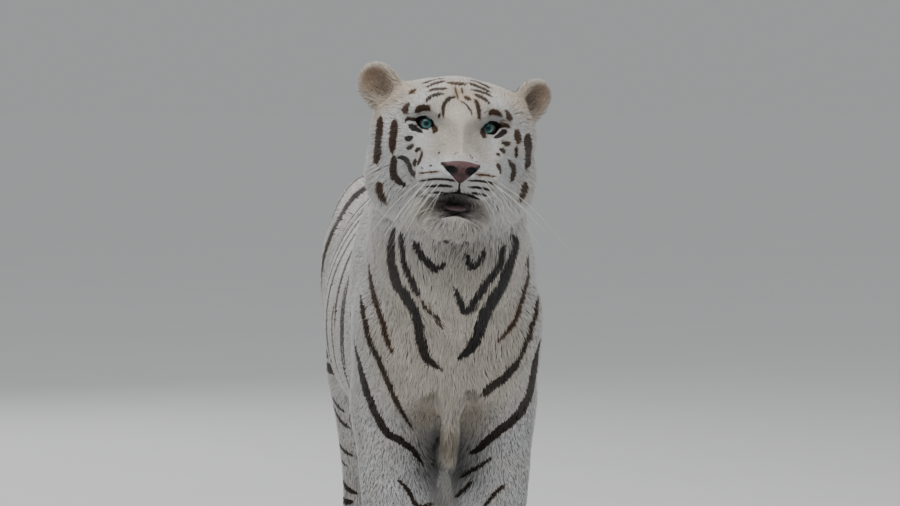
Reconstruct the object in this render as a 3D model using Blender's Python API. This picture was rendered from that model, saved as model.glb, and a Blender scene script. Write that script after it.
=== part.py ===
"""A white tiger standing at life size: the solids of a still museum model.

Metres, Z up. The tiger faces -Y and its left side is at +X. The whole animal is shaped
as a field of distances, in which rounded forms melt together, out to the tips of its
coat. The field becomes one faceted body, which thin cuts part into its members.
"""
import math

import bmesh
import bpy
import numpy as np
import openvdb
from mathutils import Euler, Matrix, Vector

# Driving sizes
WITHERS_HEIGHT = 0.945       # floor to the top of the shoulders
BACK_HEIGHT = 0.925
BELLY_HEIGHT = 0.430
TRUNK_HALF_WIDTH = 0.200
FORELEG_APART = 0.085        # from the middle to a foreleg
HINDLEG_APART = 0.100
HINDLEG_Y = 1.000            # from the forelegs back to the hocks
LEFT_HIND_BACK = 0.050       # the left hind foot stands behind that place
RIGHT_HIND_BACK = -0.030     # and the right one before it
EYES = (-0.014, -0.500, 1.065)         # midway between the eyes
HEAD_TURN = (-2.0, 4.5, 0.0)           # degrees: nose a little up, left side low
EARS = {-1: (14, 0.003, 0.000), 1: (38, 0.011, 0.006)}    # yaw in degrees, drop, shift out
EYE_APART = 0.0545           # from the middle of the face to an eye
EYE_RADIUS = 0.018
EYE_DEPTH = 0.015
EYE_WIDE = 0.0175            # half the width of the opening between the lids
EYE_TALL = 0.0125            # half its height
NOSE_PAD = (0.030, 0.022, 0.016)
TONGUE = (0.022, 0.042, 0.0085)
GAP = 0.0003                 # between neighbouring solids
FACETS = 5000                # triangles of the body before it is parted
REACH = 0.09                 # how far from its own surface a form is worked out

# Spacing of the field where it is fine, at the head, and coarse
FINE = 0.0045
COARSE = 0.009

WHITE = (0.78, 0.75, 0.70, 1.0)
DARK_BACK = (0.10, 0.09, 0.08, 1.0)
NOSE_PINK = (0.20, 0.10, 0.10, 1.0)
TONGUE_PINK = (0.45, 0.24, 0.24, 1.0)
IRIS_BLUE = (0.12, 0.34, 0.36, 1.0)


# ---------------------------------------------------------------- the field of distances

def axis(*stops):
    """Positions along an axis; stops are (place, spacing there), evened out between."""
    places = [stops[0][0]]
    while places[-1] < stops[-1][0]:
        spacing = np.interp(places[-1], [s[0] for s in stops], [s[1] for s in stops])
        places.append(places[-1] + spacing)
    return np.array(places, np.float32)


class Field:
    """Signed distances where three axes cross."""

    def __init__(self, axes):
        self.axes = axes
        self.values = np.full([len(a) for a in axes], REACH, np.float32)

    def near(self, low, high):
        """The part of the field round a box, and its coordinates."""
        place = tuple(
            slice(*np.searchsorted(a, (low[i] - REACH, high[i] + REACH)))
            for i, a in enumerate(self.axes)
        )
        x, y, z = (a[s] for a, s in zip(self.axes, place))
        return place, (x[:, None, None], y[None, :, None], z[None, None, :])

    def add(self, form, blend):
        place, where = self.near(*form.box)
        self.values[place] = lesser(self.values[place], form.at(*where), blend)

    def carve(self, form, blend):
        place, where = self.near(*form.box)
        self.values[place] = -lesser(-self.values[place], form.at(*where), blend)


def lesser(a, b, blend):
    """The lesser of two distances, rounded over a blend where they are close."""
    overlap = np.maximum(blend - np.abs(a - b), 0) / blend
    return np.minimum(a, b) - overlap * overlap * blend / 4


def frame(origin=(0, 0, 0), turn=(0, 0, 0), within=None):
    """A place and a rotation matrix, inside another frame where one is given."""
    matrix = np.array(Euler([math.radians(t) for t in turn]).to_matrix())
    if within is None:
        return np.array(origin, float), matrix
    return within[1] @ np.array(origin, float) + within[0], within[1] @ matrix


class Form:
    """A distance function in a frame of its own, with the box that it fills."""

    def __init__(self, low, high, distance, within=None, mirror=False):
        self.within = within or frame()
        self.distance = distance
        self.mirror = mirror
        corners = np.array([(x, y, z) for x in (low[0], high[0])
                            for y in (low[1], high[1]) for z in (low[2], high[2])])
        if mirror:
            corners = np.concatenate([corners, corners * (-1, 1, 1)])
        placed = corners @ self.within[1].T + self.within[0]
        self.box = placed.min(0), placed.max(0)

    def at(self, x, y, z):
        origin, turn = (v.astype(np.float32) for v in self.within)
        x, y, z = x - origin[0], y - origin[1], z - origin[2]
        x, y, z = (turn[0, i] * x + turn[1, i] * y + turn[2, i] * z for i in range(3))
        return self.distance(np.abs(x) if self.mirror else x, y, z).astype(np.float32)


def egg(centre, radii, turn=(0, 0, 0), within=None, mirror=False, power=2.0):
    """An ellipsoid, squarer where its power is above 2."""
    origin, matrix = frame(centre, turn)
    spin = matrix.astype(np.float32)

    def distance(x, y, z):
        x, y, z = x - origin[0], y - origin[1], z - origin[2]
        u, v, w = (spin[0, i] * x + spin[1, i] * y + spin[2, i] * z for i in range(3))
        far = np.sqrt(u * u + v * v + w * w) + 1e-6
        parts = (np.abs(p / r) ** power for p, r in zip((u, v, w), radii))
        ratio = sum(parts) ** (1 / power) + 1e-6
        return np.maximum(far * (1 - 1 / ratio), -min(radii))

    reach = np.abs(matrix * radii).sum(1)
    return Form(origin - reach, origin + reach, distance, within, mirror)


def along(values, steps):
    """Points of a smooth curve through a few rows of values."""
    rows = np.array(values, float)
    t = np.linspace(0, len(rows) - 1, steps + 1)
    i = np.minimum(t.astype(int), len(rows) - 2)
    f = (t - i)[:, None]
    ends = np.concatenate([[2 * rows[0] - rows[1]], rows, [2 * rows[-1] - rows[-2]]])
    a, b, c, d = (ends[i + k] for k in range(4))
    return b + 0.5 * f * (c - a + f * (2 * a - 5 * b + 4 * c - d + f * (3 * b - a - 3 * c + d)))


def tube(stations, steps, within=None, side=0):
    """A limb through stations (x, y, z, half width, half depth).

    Its width lies along the frame's axis numbered side, and its depth across that.
    """
    rows = along(stations, steps)

    def distance(x, y, z):
        nearest = None
        for a, b in zip(rows[:-1], rows[1:]):
            run = (b - a)[:3]
            t = (x - a[0]) * run[0] + (y - a[1]) * run[1] + (z - a[2]) * run[2]
            t = np.clip(t / float(run @ run), 0, 1)
            away = [p - a[i] - t * run[i] for i, p in enumerate((x, y, z))]
            here = away[0] ** 2 + away[1] ** 2 + away[2] ** 2
            wide, deep = a[3] + t * (b[3] - a[3]), a[4] + t * (b[4] - a[4])
            if nearest is None:
                nearest, across, widest, deepest = here, away[side], wide, deep
            closer = here < nearest
            nearest = np.where(closer, here, nearest)
            across = np.where(closer, away[side], across)
            widest, deepest = np.where(closer, wide, widest), np.where(closer, deep, deepest)
        square = (across / widest) ** 2 + (nearest - across ** 2) / deepest ** 2
        inward = 1 - 1 / (np.sqrt(np.maximum(square, 0)) + 1e-6)
        return np.maximum(np.sqrt(nearest) * inward, -np.minimum(widest, deepest))

    reach = rows[:, 3:].max(1)[:, None]
    return Form((rows[:, :3] - reach).min(0), (rows[:, :3] + reach).max(0), distance, within)


def barrel(stations, cap, lean=0.46):
    """The trunk through stations (y, top, bottom, half width), widest at lean of its height."""
    rows = along(stations, 120)

    def distance(x, y, z):
        here = np.clip(y, rows[0, 0], rows[-1, 0])
        top, bottom, wide = (np.interp(here, rows[:, 0], rows[:, k]) for k in (1, 2, 3))
        level = bottom + lean * (top - bottom)
        rise, past = z - level, y - here
        tall = np.where(rise > 0, top - level, level - bottom)
        power = np.where(rise > 0, 1.82, 2.4)
        ratio = np.abs(x / wide) ** power + np.abs(rise / tall) ** power
        ratio = (ratio + np.abs(past / cap) ** power) ** (1 / power) + 1e-6
        far = np.sqrt(x * x + rise * rise + past * past)
        return np.maximum(far * (1 - 1 / ratio), -REACH)

    wide = rows[:, 3].max()
    low = (-wide, rows[0, 0] - cap, rows[:, 2].min())
    return Form(low, (wide, rows[-1, 0] + cap, rows[:, 1].max()), distance)


# ---------------------------------------------------------------- the forms of the body

HEAD = frame(EYES, HEAD_TURN)


def shape_trunk(body):
    body.add(barrel([
        (-0.130, 0.880, 0.540, 0.118),
        (0.000, WITHERS_HEIGHT - 0.006, 0.475, 0.148),
        (0.180, WITHERS_HEIGHT - 0.006, 0.435, 0.178),
        (0.360, BACK_HEIGHT, BELLY_HEIGHT, TRUNK_HALF_WIDTH - 0.004),
        (0.540, BACK_HEIGHT - 0.005, 0.438, TRUNK_HALF_WIDTH),
        (0.720, BACK_HEIGHT, 0.472, TRUNK_HALF_WIDTH - 0.012),
        (0.880, BACK_HEIGHT, 0.540, 0.165),
        (1.020, 0.895, 0.640, 0.130),
    ], cap=0.090), 0.001)
    body.add(egg((0, 0.04, WITHERS_HEIGHT - 0.070), (0.076, 0.17, 0.074)), 0.06)
    body.add(egg((0, -0.122, 0.692), (0.118, 0.105, 0.142), (-12, 0, 0)), 0.06)     # breast
    for side in (-1, 1):                                             # pits beside the keel
        body.carve(tube([
            (side * 0.030, -0.176, 0.560, 0.006, 0.020),
            (side * 0.038, -0.160, 0.520, 0.015, 0.045),
            (side * 0.044, -0.130, 0.470, 0.022, 0.060),
            (side * 0.044, -0.100, 0.420, 0.022, 0.060),
        ], 8), 0.022)
    body.add(tube([                                                  # loose skin of the keel
        (0, -0.180, 0.700, 0.045, 0.040),
        (0, -0.168, 0.600, 0.022, 0.046),
        (0, -0.140, 0.510, 0.017, 0.046),
        (0, -0.095, 0.448, 0.017, 0.034),
        (0, 0.020, 0.440, 0.024, 0.028),
    ], 12), 0.028)
    body.add(egg((0, 1.000, 0.815), (0.120, 0.160, 0.105), (-20, 0, 0)), 0.07)      # croup


def shape_neck(body):
    x = EYES[0]
    body.add(tube([
        (0.0, 0.080, 0.780, 0.138, 0.158),
        (0.2 * x, -0.080, 0.808, 0.148, 0.182),
        (0.6 * x, -0.210, 0.868, 0.146, 0.188),
        (0.9 * x, -0.320, 0.938, 0.134, 0.166),
        (x, -0.400, 0.998, 0.118, 0.132),
    ], 16), 0.08)


def shape_foot(body, x, y, side, size):
    """A foot flat on the floor, with four toes and turned a little outward."""
    foot = frame((x, y, 0), (0, 0, side * 5))
    pad = (0.060 * size, 0.066 * size, 0.050 * size)
    body.add(egg((0, 0.012 * size, 0.040 * size), pad, within=foot, power=2.4), 0.03)
    outer, inner = (0.045, -0.046, 0.025, 0.0205), (0.0165, -0.068, 0.029, 0.0225)
    for toe_x, toe_y, height, half in (outer, inner):
        for toe_side in (-1, 1):
            centre = (toe_side * toe_x * size, toe_y * size, height * size)
            radii = (half * size, 0.031 * size, half * 1.2 * size)
            splay = -toe_side * toe_x * 300
            body.add(egg(centre, radii, (-10, 0, splay), foot), 0.010)


def shape_foreleg(body, side):
    x = side * FORELEG_APART
    body.add(egg((x + side * 0.007, 0.005, 0.750), (0.076, 0.125, 0.195), (-22, 0, 0)), 0.05)
    body.add(tube([                                                  # upper arm
        (x + side * 0.018, -0.112, 0.690, 0.068, 0.085),
        (x + side * 0.019, -0.040, 0.600, 0.069, 0.098),
        (x + side * 0.011, 0.035, 0.520, 0.068, 0.085),
    ], 8), 0.05)
    body.add(tube([                                                  # forearm and wrist
        (x + side * 0.010, 0.015, 0.530, 0.074, 0.088),
        (x + side * 0.004, -0.004, 0.440, 0.076, 0.082),
        (x, -0.014, 0.340, 0.070, 0.070),
        (x - side * 0.002, -0.016, 0.240, 0.057, 0.057),
        (x - side * 0.001, -0.020, 0.160, 0.053, 0.052),
        (x + side * 0.001, -0.030, 0.085, 0.055, 0.048),
    ], 16), 0.04)
    body.add(egg((x + side * 0.010, 0.082, 0.500), (0.036, 0.040, 0.050)), 0.03)    # elbow
    body.add(egg((x - side * 0.005, 0.036, 0.165), (0.018, 0.016, 0.018)), 0.02)    # wrist pad
    shape_foot(body, x + side * 0.005, -0.054, side, 1.10)


def shape_hindleg(body, side, back):
    x = side * HINDLEG_APART
    y = HINDLEG_Y
    body.add(egg((x - side * 0.008, y - 0.070, 0.735), (0.078, 0.170, 0.175), (20, 0, 0)), 0.06)
    body.add(tube([                                                  # back of the thigh
        (x - side * 0.022, y + 0.085, 0.790, 0.070, 0.070),
        (x - side * 0.008, y + 0.045 + back * 0.3, 0.680, 0.074, 0.080),
        (x, y - 0.010 + back * 0.6, 0.560, 0.066, 0.078),
        (x + side * 0.002, y - 0.060 + back * 0.7, 0.470, 0.050, 0.058),
    ], 10), 0.05)
    body.add(tube([                                                  # front of the thigh
        (x - side * 0.002, y - 0.120, 0.720, 0.080, 0.115),
        (x + side * 0.007, y - 0.150 + back * 0.4, 0.610, 0.076, 0.110),
        (x + side * 0.008, y - 0.165 + back * 0.6, 0.520, 0.066, 0.084),
    ], 8), 0.05)
    body.add(tube([                                                  # shank and hock
        (x + side * 0.007, y - 0.158 + back * 0.6, 0.520, 0.062, 0.078),
        (x + side * 0.005, y - 0.085 + back * 0.8, 0.430, 0.057, 0.082),
        (x + side * 0.001, y + back, 0.345, 0.047, 0.063),
        (x - side * 0.002, y + 0.068 + back, 0.272, 0.040, 0.048),
        (x - side * 0.003, y + 0.070 + back, 0.195, 0.041, 0.043),
        (x - side * 0.003, y + 0.053 + back, 0.115, 0.045, 0.043),
        (x - side * 0.002, y + 0.035 + back, 0.065, 0.048, 0.044),
    ], 20), 0.04)
    body.add(egg((x - side * 0.003, y + 0.108 + back, 0.275), (0.025, 0.028, 0.036)), 0.025)
    shape_foot(body, x - side * 0.001, y + back, side, 0.98)


def shape_tail(body):
    body.add(tube([
        (0.000, 1.060, 0.850, 0.060, 0.062),
        (0.000, 1.170, 0.800, 0.045, 0.050),
        (0.004, 1.255, 0.680, 0.038, 0.040),
        (0.012, 1.310, 0.540, 0.035, 0.036),
        (0.026, 1.360, 0.400, 0.033, 0.033),
        (0.046, 1.440, 0.290, 0.031, 0.031),
        (0.070, 1.550, 0.245, 0.030, 0.030),
        (0.094, 1.655, 0.270, 0.029, 0.029),
        (0.112, 1.725, 0.340, 0.025, 0.025),
    ], 36), 0.045)


def shape_skull(body):
    """The head without its muzzle, ears and eyes."""
    body.add(egg((0, 0.090, 0.000), (0.100, 0.112, 0.082), within=HEAD), 0.05)
    body.add(egg((0, 0.160, -0.020), (0.096, 0.100, 0.090), within=HEAD), 0.05)     # nape
    both = dict(within=HEAD, mirror=True)
    body.add(egg((0.092, 0.088, -0.012), (0.057, 0.066, 0.060), **both), 0.03)      # temple
    body.add(egg((0.076, 0.092, 0.035), (0.050, 0.062, 0.036), (0, 20, 0), **both), 0.03)
    body.add(egg((0.090, 0.082, -0.085), (0.063, 0.066, 0.082), (0, -4, 0), **both), 0.03)
    body.add(egg((0, 0.095, -0.110), (0.105, 0.085, 0.075), within=HEAD), 0.04)     # throat
    body.add(egg((0.070, 0.030, -0.040), (0.052, 0.044, 0.040), **both), 0.03)      # cheekbone
    body.add(egg((0.074, 0.036, -0.098), (0.042, 0.050, 0.048), **both), 0.03)      # jowl
    body.add(egg((0.048, 0.012, 0.030), (0.042, 0.032, 0.019), (0, 14, 0), **both), 0.025)


def shape_muzzle(body):
    both = dict(within=HEAD, mirror=True)
    body.add(egg((0.052, -0.022, -0.062), (0.036, 0.058, 0.040), (8, 0, -14), **both), 0.03)
    body.add(tube([                                                  # bridge of the nose
        (0, 0.055, 0.046, 0.062, 0.034),
        (0, 0.000, 0.013, 0.042, 0.033),
        (0, -0.055, -0.023, 0.037, 0.032),
        (0, -0.108, -0.060, 0.033, 0.023),
    ], 8, HEAD), 0.025)
    body.add(tube([                                                  # upper jaw
        (0, 0.030, -0.085, 0.078, 0.052),
        (0, -0.035, -0.088, 0.067, 0.041),
        (0, -0.085, -0.090, 0.058, 0.035),
    ], 6, HEAD), 0.03)
    body.add(egg((0.035, -0.093, -0.095), (0.038, 0.042, 0.031), (0, -14, 0), **both), 0.022)
    body.add(egg((0, -0.117, -0.077), (0.033, 0.025, 0.019), within=HEAD), 0.012)   # nose pad
    body.add(tube([                                                  # lower jaw
        (0, 0.060, -0.125, 0.090, 0.054),
        (0, -0.015, -0.150, 0.066, 0.043),
        (0, -0.072, -0.164, 0.048, 0.032),
    ], 6, HEAD), 0.03)
    body.add(egg((0, -0.081, -0.169), (0.046, 0.033, 0.030), within=HEAD), 0.015)   # chin


def carve_mouth(body):
    """The parted lips, arched from corner to corner, and the hollow behind them."""
    corner = (0.050, -0.076, -0.1550, 0.032, 0.0055)
    cheek = (0.030, -0.095, -0.1430, 0.046, 0.0118)
    middle = (0, -0.110, -0.1340, 0.052, 0.0155)
    left = [corner, cheek]
    right = [(-x, y, z, deep, tall) for x, y, z, deep, tall in reversed(left)]
    body.carve(tube(left + [middle] + right, 12, HEAD, side=1), 0.008)
    body.carve(egg((0, -0.080, -0.135), (0.036, 0.052, 0.012), within=HEAD), 0.006)


def ear_frame(side):
    yaw, drop, shift = EARS[side]
    place = (side * (0.111 + shift), 0.098, 0.040 - drop)
    return frame(place, (8, side * 44, side * yaw), HEAD)


def shape_ear(body, side):
    """A cupped disc."""
    base = ear_frame(side)
    body.add(egg((0, 0.004, 0.034), (0.038, 0.020, 0.045), within=base), 0.022)
    body.carve(egg((0, -0.021, 0.040), (0.029, 0.027, 0.0325), within=base), 0.010)


def almond(eye):
    """The opening between the lids, in an eye's frame, from two arcs."""
    arc = (EYE_WIDE ** 2 + EYE_TALL ** 2) / (2 * EYE_TALL)

    def distance(x, y, z):
        upper = np.sqrt(x * x + (z + arc - EYE_TALL) ** 2) - arc
        lower = np.sqrt(x * x + (z - arc + EYE_TALL) ** 2) - arc
        return np.maximum(np.maximum(upper, lower), y + 0.002)

    return Form((-EYE_WIDE, -0.05, -EYE_TALL), (EYE_WIDE, -0.002, EYE_TALL), distance, eye)


def eye_frame(side):
    return frame((side * EYE_APART, EYE_DEPTH, 0), (-4, -side * 13, side * 12), HEAD)


def shape_lids(body, side):
    eye = eye_frame(side)
    body.add(egg((0, 0, 0), [EYE_RADIUS + 0.0032] * 3, within=eye), 0.012)
    body.carve(almond(eye), 0.0035)


def shape_body():
    """The field of the whole tiger, without its eyeballs and tongue."""
    across = axis((-0.26, COARSE), (-0.18, FINE), (0.18, FINE), (0.26, COARSE))
    length = axis((-0.72, FINE), (-0.32, FINE), (-0.20, COARSE), (1.80, COARSE))
    height = axis((-0.03, FINE), (0.10, FINE), (0.14, COARSE),
                  (0.78, COARSE), (0.84, FINE), (1.24, FINE))
    body = Field([across, length, height])
    shape_trunk(body)
    shape_neck(body)
    shape_tail(body)
    for side in (-1, 1):
        shape_foreleg(body, side)
        shape_hindleg(body, side, LEFT_HIND_BACK if side > 0 else RIGHT_HIND_BACK)
    shape_skull(body)
    shape_muzzle(body)
    carve_mouth(body)
    for side in (-1, 1):
        shape_ear(body, side)
        shape_lids(body, side)
    return body


# ---------------------------------------------------------------- solids

def material(name, colour, roughness):
    made = bpy.data.materials.new(name)
    made.use_nodes = True
    shader = made.node_tree.nodes["Principled BSDF"]
    shader.inputs["Base Color"].default_value = colour
    shader.inputs["Roughness"].default_value = roughness
    return made


def new_object(name, mesh):
    thing = bpy.data.objects.new(name, mesh)
    bpy.context.scene.collection.objects.link(thing)
    return thing


def settle(thing):
    """Take the object's modifiers into its mesh."""
    bpy.context.view_layer.update()
    shaped = thing.evaluated_get(bpy.context.evaluated_depsgraph_get())
    mesh = bpy.data.meshes.new_from_object(shaped)
    thing.modifiers.clear()
    thing.data = mesh


def body_mesh(body):
    """The surface where the field is zero, as faces that point outward."""
    grid = openvdb.FloatGrid(background=REACH)
    grid.copyFromArray(body.values)
    points, quads = grid.convertToQuads(0.0)
    places = [np.interp(points[:, i], np.arange(len(a)), a) for i, a in enumerate(body.axes)]
    mesh = bpy.data.meshes.new("tiger")
    mesh.from_pydata(np.stack(places, 1).tolist(), [], quads.tolist())
    return mesh


def thin_out(thing, count):
    """Keep about count triangles, where the shape needs them most."""
    faces = 2 * len(thing.data.polygons)
    fewer = thing.modifiers.new("fewer", "DECIMATE")
    fewer.ratio = count / faces
    fewer.use_collapse_triangulate = True
    settle(thing)


def combine(thing, other, operation):
    cut = thing.modifiers.new("cut", "BOOLEAN")
    cut.operation = operation
    cut.solver = "EXACT"
    cut.object = other
    settle(thing)


def block(planes, grow=0.0):
    """A large cube cut back to what lies behind every plane (point, normal)."""
    bm = bmesh.new()
    bmesh.ops.create_cube(bm, size=6.0)
    for point, normal in planes:
        normal = Vector(normal).normalized()
        geometry = bm.verts[:] + bm.edges[:] + bm.faces[:]
        bmesh.ops.bisect_plane(bm, geom=geometry, plane_co=Vector(point) + normal * grow,
                               plane_no=normal, clear_outer=True)
        bmesh.ops.holes_fill(bm, edges=[e for e in bm.edges if e.is_boundary])
    bmesh.ops.recalc_face_normals(bm, faces=bm.faces)
    return bm


def ball(centre_frame, radii, rings=8, grow=0.0):
    """A faceted ellipsoid in a frame."""
    bm = bmesh.new()
    bmesh.ops.create_uvsphere(bm, u_segments=2 * rings, v_segments=rings, radius=1.0)
    origin, turn = centre_frame
    place = Matrix.Translation(origin) @ Matrix(turn.tolist()).to_4x4()
    bmesh.ops.transform(bm, matrix=place @ Matrix.Diagonal([r + grow for r in radii] + [1]),
                        verts=bm.verts)
    return bm


def as_object(name, bm):
    mesh = bpy.data.meshes.new(name)
    bm.to_mesh(mesh)
    bm.free()
    return new_object(name, mesh)


def part_off(rest, name, cutter):
    """Split off what lies inside a cutter, leaving a thin gap; cutter(grow) makes its mesh."""
    piece = new_object(name, rest.data.copy())
    for thing, grow, operation in ((piece, 0.0, "INTERSECT"), (rest, GAP, "DIFFERENCE")):
        other = as_object("cutter", cutter(grow))
        combine(thing, other, operation)
        bpy.data.objects.remove(other)
    return piece


def plane_in(within, point, normal):
    """A plane given in a frame."""
    origin, turn = within
    return turn @ np.array(point, float) + origin, turn @ np.array(normal, float)


def part_head(rest):
    """Part the head from the neck, and the head's own pieces from it."""
    nape = [((0, -0.325, 0.93), (0, 0.86, -0.50))]
    head = part_off(rest, "head", lambda grow: block(nape, grow))
    pieces = {}
    for side, name in ((-1, "ear_right"), (1, "ear_left")):
        root = [
            ((0, 0, 0.004), (0, 0, -1)),
            ((0, 0.030, 0), (0, 1, -0.3)),
            ((side * -0.05, 0, 0), (-side, 0, 0)),
        ]
        root = [plane_in(ear_frame(side), *plane) for plane in root]
        pieces[name] = part_off(head, name, lambda grow: block(root, grow))
    pad = frame((0, -0.133, -0.080), (-32, 0, 0), HEAD)
    pieces["nose"] = part_off(head, "nose", lambda grow: ball(pad, NOSE_PAD, rings=7, grow=grow))
    jaw = [((0, 0, -0.137), (0, 0.10, 1)), ((0, -0.030, -0.137), (0, 1, 0.55))]
    jaw = [plane_in(HEAD, *plane) for plane in jaw]
    pieces["lower_jaw"] = part_off(head, "lower_jaw", lambda grow: block(jaw, grow))
    return head, pieces


def add_eyes(head):
    eyes = []
    for side, name in ((-1, "eye_right"), (1, "eye_left")):
        size = [EYE_RADIUS] * 3
        socket = as_object("cutter", ball(eye_frame(side), size, grow=GAP * 1.1))
        combine(head, socket, "DIFFERENCE")
        bpy.data.objects.remove(socket)
        eyes.append(as_object(name, ball(eye_frame(side), size)))
    return eyes


def add_tongue(neighbours):
    place = frame((0, -0.072, -0.1415), (5, 0, 0), HEAD)
    for neighbour in neighbours:
        room = as_object("cutter", ball(place, TONGUE, rings=6, grow=GAP * 1.3))
        combine(neighbour, room, "DIFFERENCE")
        bpy.data.objects.remove(room)
    return as_object("tongue", ball(place, TONGUE, rings=6))


def part_tail(rest):
    root = [((0, 1.165, 0.86), (0, -1, -0.12))]
    middle = [((0, 0, 0.60), (0, 0, 1))]
    tip = [((0, 1.46, 0), (0, -1, 0))]
    tail = part_off(rest, "tail_base", lambda grow: block(root, grow))
    lower = part_off(tail, "tail_middle", lambda grow: block(middle, grow))
    end = part_off(lower, "tail_tip", lambda grow: block(tip, grow))
    return [tail, lower, end]


def part_leg(rest, end, side, name):
    """Part a leg from the trunk by a plane that slants up and out, and then its foot."""
    if end == "fore":
        planes = [((side * 0.010, 0, 0), (-side, 0, 0)), ((0, 0.150, 0), (0, 1, 0)),
                  ((side * 0.03, 0, 0.470), (-side * 0.87, 0, 0.50))]
        foot = [((0, 0, 0.105), (0, -0.15, 1))]
    else:
        planes = [((side * 0.022, 0, 0.5), (-side, 0, 0)), ((0, 0.700, 0.50), (0, -1, 0.25)),
                  ((side * 0.03, 0, 0.600), (-side * 0.87, 0, 0.50))]
        foot = [((0, 0, 0.095), (0, -0.15, 1))]
    leg = part_off(rest, f"{end}leg_{name}", lambda grow: block(planes, grow))
    paw = part_off(leg, f"{end}paw_{name}", lambda grow: block(foot, grow))
    return [leg, paw]


def centre_on_floor(things):
    """Move the origin to the middle of the model's box, at floor level."""
    points = np.array([v.co[:] for thing in things for v in thing.data.vertices])
    middle = (points.min(0) + points.max(0)) / 2
    shift = Matrix.Translation((-middle[0], -middle[1], 0))
    for thing in things:
        thing.data.transform(shift)


def finish(thing):
    """Clean a solid's mesh, shade it and give it its material."""
    bm = bmesh.new()
    bm.from_mesh(thing.data)
    bmesh.ops.remove_doubles(bm, verts=bm.verts, dist=1e-6)
    bmesh.ops.triangulate(bm, faces=bm.faces)
    bm.to_mesh(thing.data)
    bm.free()
    thing.data.shade_smooth()
    thing.data.set_sharp_from_angle(angle=math.radians(40))
    thing.data.materials.clear()
    colour = WHITE
    roughness = 0.8
    if thing.name == "nose":
        colour, roughness = NOSE_PINK, 0.45
    elif thing.name == "tongue":
        colour, roughness = TONGUE_PINK, 0.4
    elif thing.name.startswith("eye"):
        colour, roughness = IRIS_BLUE, 0.1
    elif thing.name.startswith("ear"):
        colour = DARK_BACK
    thing.data.materials.append(material(thing.name, colour, roughness))


def build():
    for thing in list(bpy.data.objects):
        bpy.data.objects.remove(thing)
    rest = new_object("trunk", body_mesh(shape_body()))
    thin_out(rest, FACETS)
    floor = as_object("cutter", block([((0, 0, 0), (0, 0, 1))]))
    combine(rest, floor, "DIFFERENCE")
    bpy.data.objects.remove(floor)
    head, parts_of_head = part_head(rest)
    pieces = [head, *parts_of_head.values()]
    pieces += add_eyes(head)
    pieces.append(add_tongue([head, parts_of_head["lower_jaw"]]))
    pieces += part_tail(rest)
    for side, name in ((-1, "right"), (1, "left")):
        pieces += part_leg(rest, "fore", side, name)
        pieces += part_leg(rest, "hind", side, name)
    shoulders = [((0, -0.10, 0.80), (0, 0.80, -0.60))]
    pieces.append(part_off(rest, "neck", lambda grow: block(shoulders, grow)))
    pieces.append(rest)
    centre_on_floor(pieces)
    for piece in pieces:
        finish(piece)


build()
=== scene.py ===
"""The looks of a standing white tiger: skin, coat, markings, eyes, nose, claws and whiskers.

Metres, Z up; the tiger faces -Y. The skin repeats the solids' field of distances, drawn in
by the depth of the coat, and tufts grow from it out to the surface of the solids.
"""
import math

import bmesh
import bpy
import numpy as np
import openvdb
from mathutils import Euler, Matrix, Vector
from mathutils.bvhtree import BVHTree


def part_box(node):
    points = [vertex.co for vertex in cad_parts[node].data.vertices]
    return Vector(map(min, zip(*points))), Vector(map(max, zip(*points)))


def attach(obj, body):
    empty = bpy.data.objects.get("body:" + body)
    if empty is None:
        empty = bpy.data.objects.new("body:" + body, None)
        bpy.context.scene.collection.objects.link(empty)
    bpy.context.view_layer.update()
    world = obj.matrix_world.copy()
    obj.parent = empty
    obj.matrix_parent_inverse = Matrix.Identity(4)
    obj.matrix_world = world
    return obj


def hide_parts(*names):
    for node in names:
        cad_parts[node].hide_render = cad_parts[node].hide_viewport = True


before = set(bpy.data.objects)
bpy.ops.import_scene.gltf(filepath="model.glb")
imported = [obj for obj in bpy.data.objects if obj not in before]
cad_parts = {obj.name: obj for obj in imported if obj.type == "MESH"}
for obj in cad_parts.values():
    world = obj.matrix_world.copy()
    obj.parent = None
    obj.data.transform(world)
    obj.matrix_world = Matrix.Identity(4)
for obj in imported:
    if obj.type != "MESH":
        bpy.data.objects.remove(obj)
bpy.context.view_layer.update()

# Driving sizes, as in the solids
WITHERS_HEIGHT = 0.945
BACK_HEIGHT = 0.925
BELLY_HEIGHT = 0.43
TRUNK_HALF_WIDTH = 0.2
FORELEG_APART = 0.085
HINDLEG_APART = 0.1
HINDLEG_Y = 1.000
LEFT_HIND_BACK = 0.05
RIGHT_HIND_BACK = -0.03
EYES = (-0.014, -0.5, 1.065)
HEAD_TURN = (-2.0, 4.5, 0.0)
EARS = {-1: (14, 0.003, 0.000), 1: (38, 0.011, 0.006)}  # yaw in degrees, drop, shift out
EYE_APART = 0.0545
EYE_RADIUS = 0.018
EYE_DEPTH = 0.015
REACH = 0.09  # how far from its own surface a form is worked out
TINY = 0.0001  # a blend so small that forms meet in an edge

# Spacing of the field, round the head, feet and back and elsewhere
FINE = 0.0042
COARSE = 0.0085

VIEW_AZIMUTH = -4.5  # degrees, negative from the tiger's right
VIEW_ELEVATION = 3.5
VIEW_DISTANCE = 7.0  # from the camera to the eyes


# ---------------------------------------------------------------- the field of distances

def axis(*stops):
    """Positions along an axis; stops are (place, spacing there), evened out between."""
    places = [stops[0][0]]
    while places[-1] < stops[-1][0]:
        spacing = np.interp(places[-1], [s[0] for s in stops], [s[1] for s in stops])
        places.append(places[-1] + spacing)
    return np.array(places, np.float32)


class Distances:
    """Signed distances to a surface that is built up form by form."""

    def add(self, form, blend, sign=1):
        place, where = self.near(*form.box)
        if self.values[place].size:
            self.values[place] = sign * lesser(sign * self.values[place], form.at(*where), blend)

    def carve(self, form, blend):
        self.add(form, blend, -1)


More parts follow.
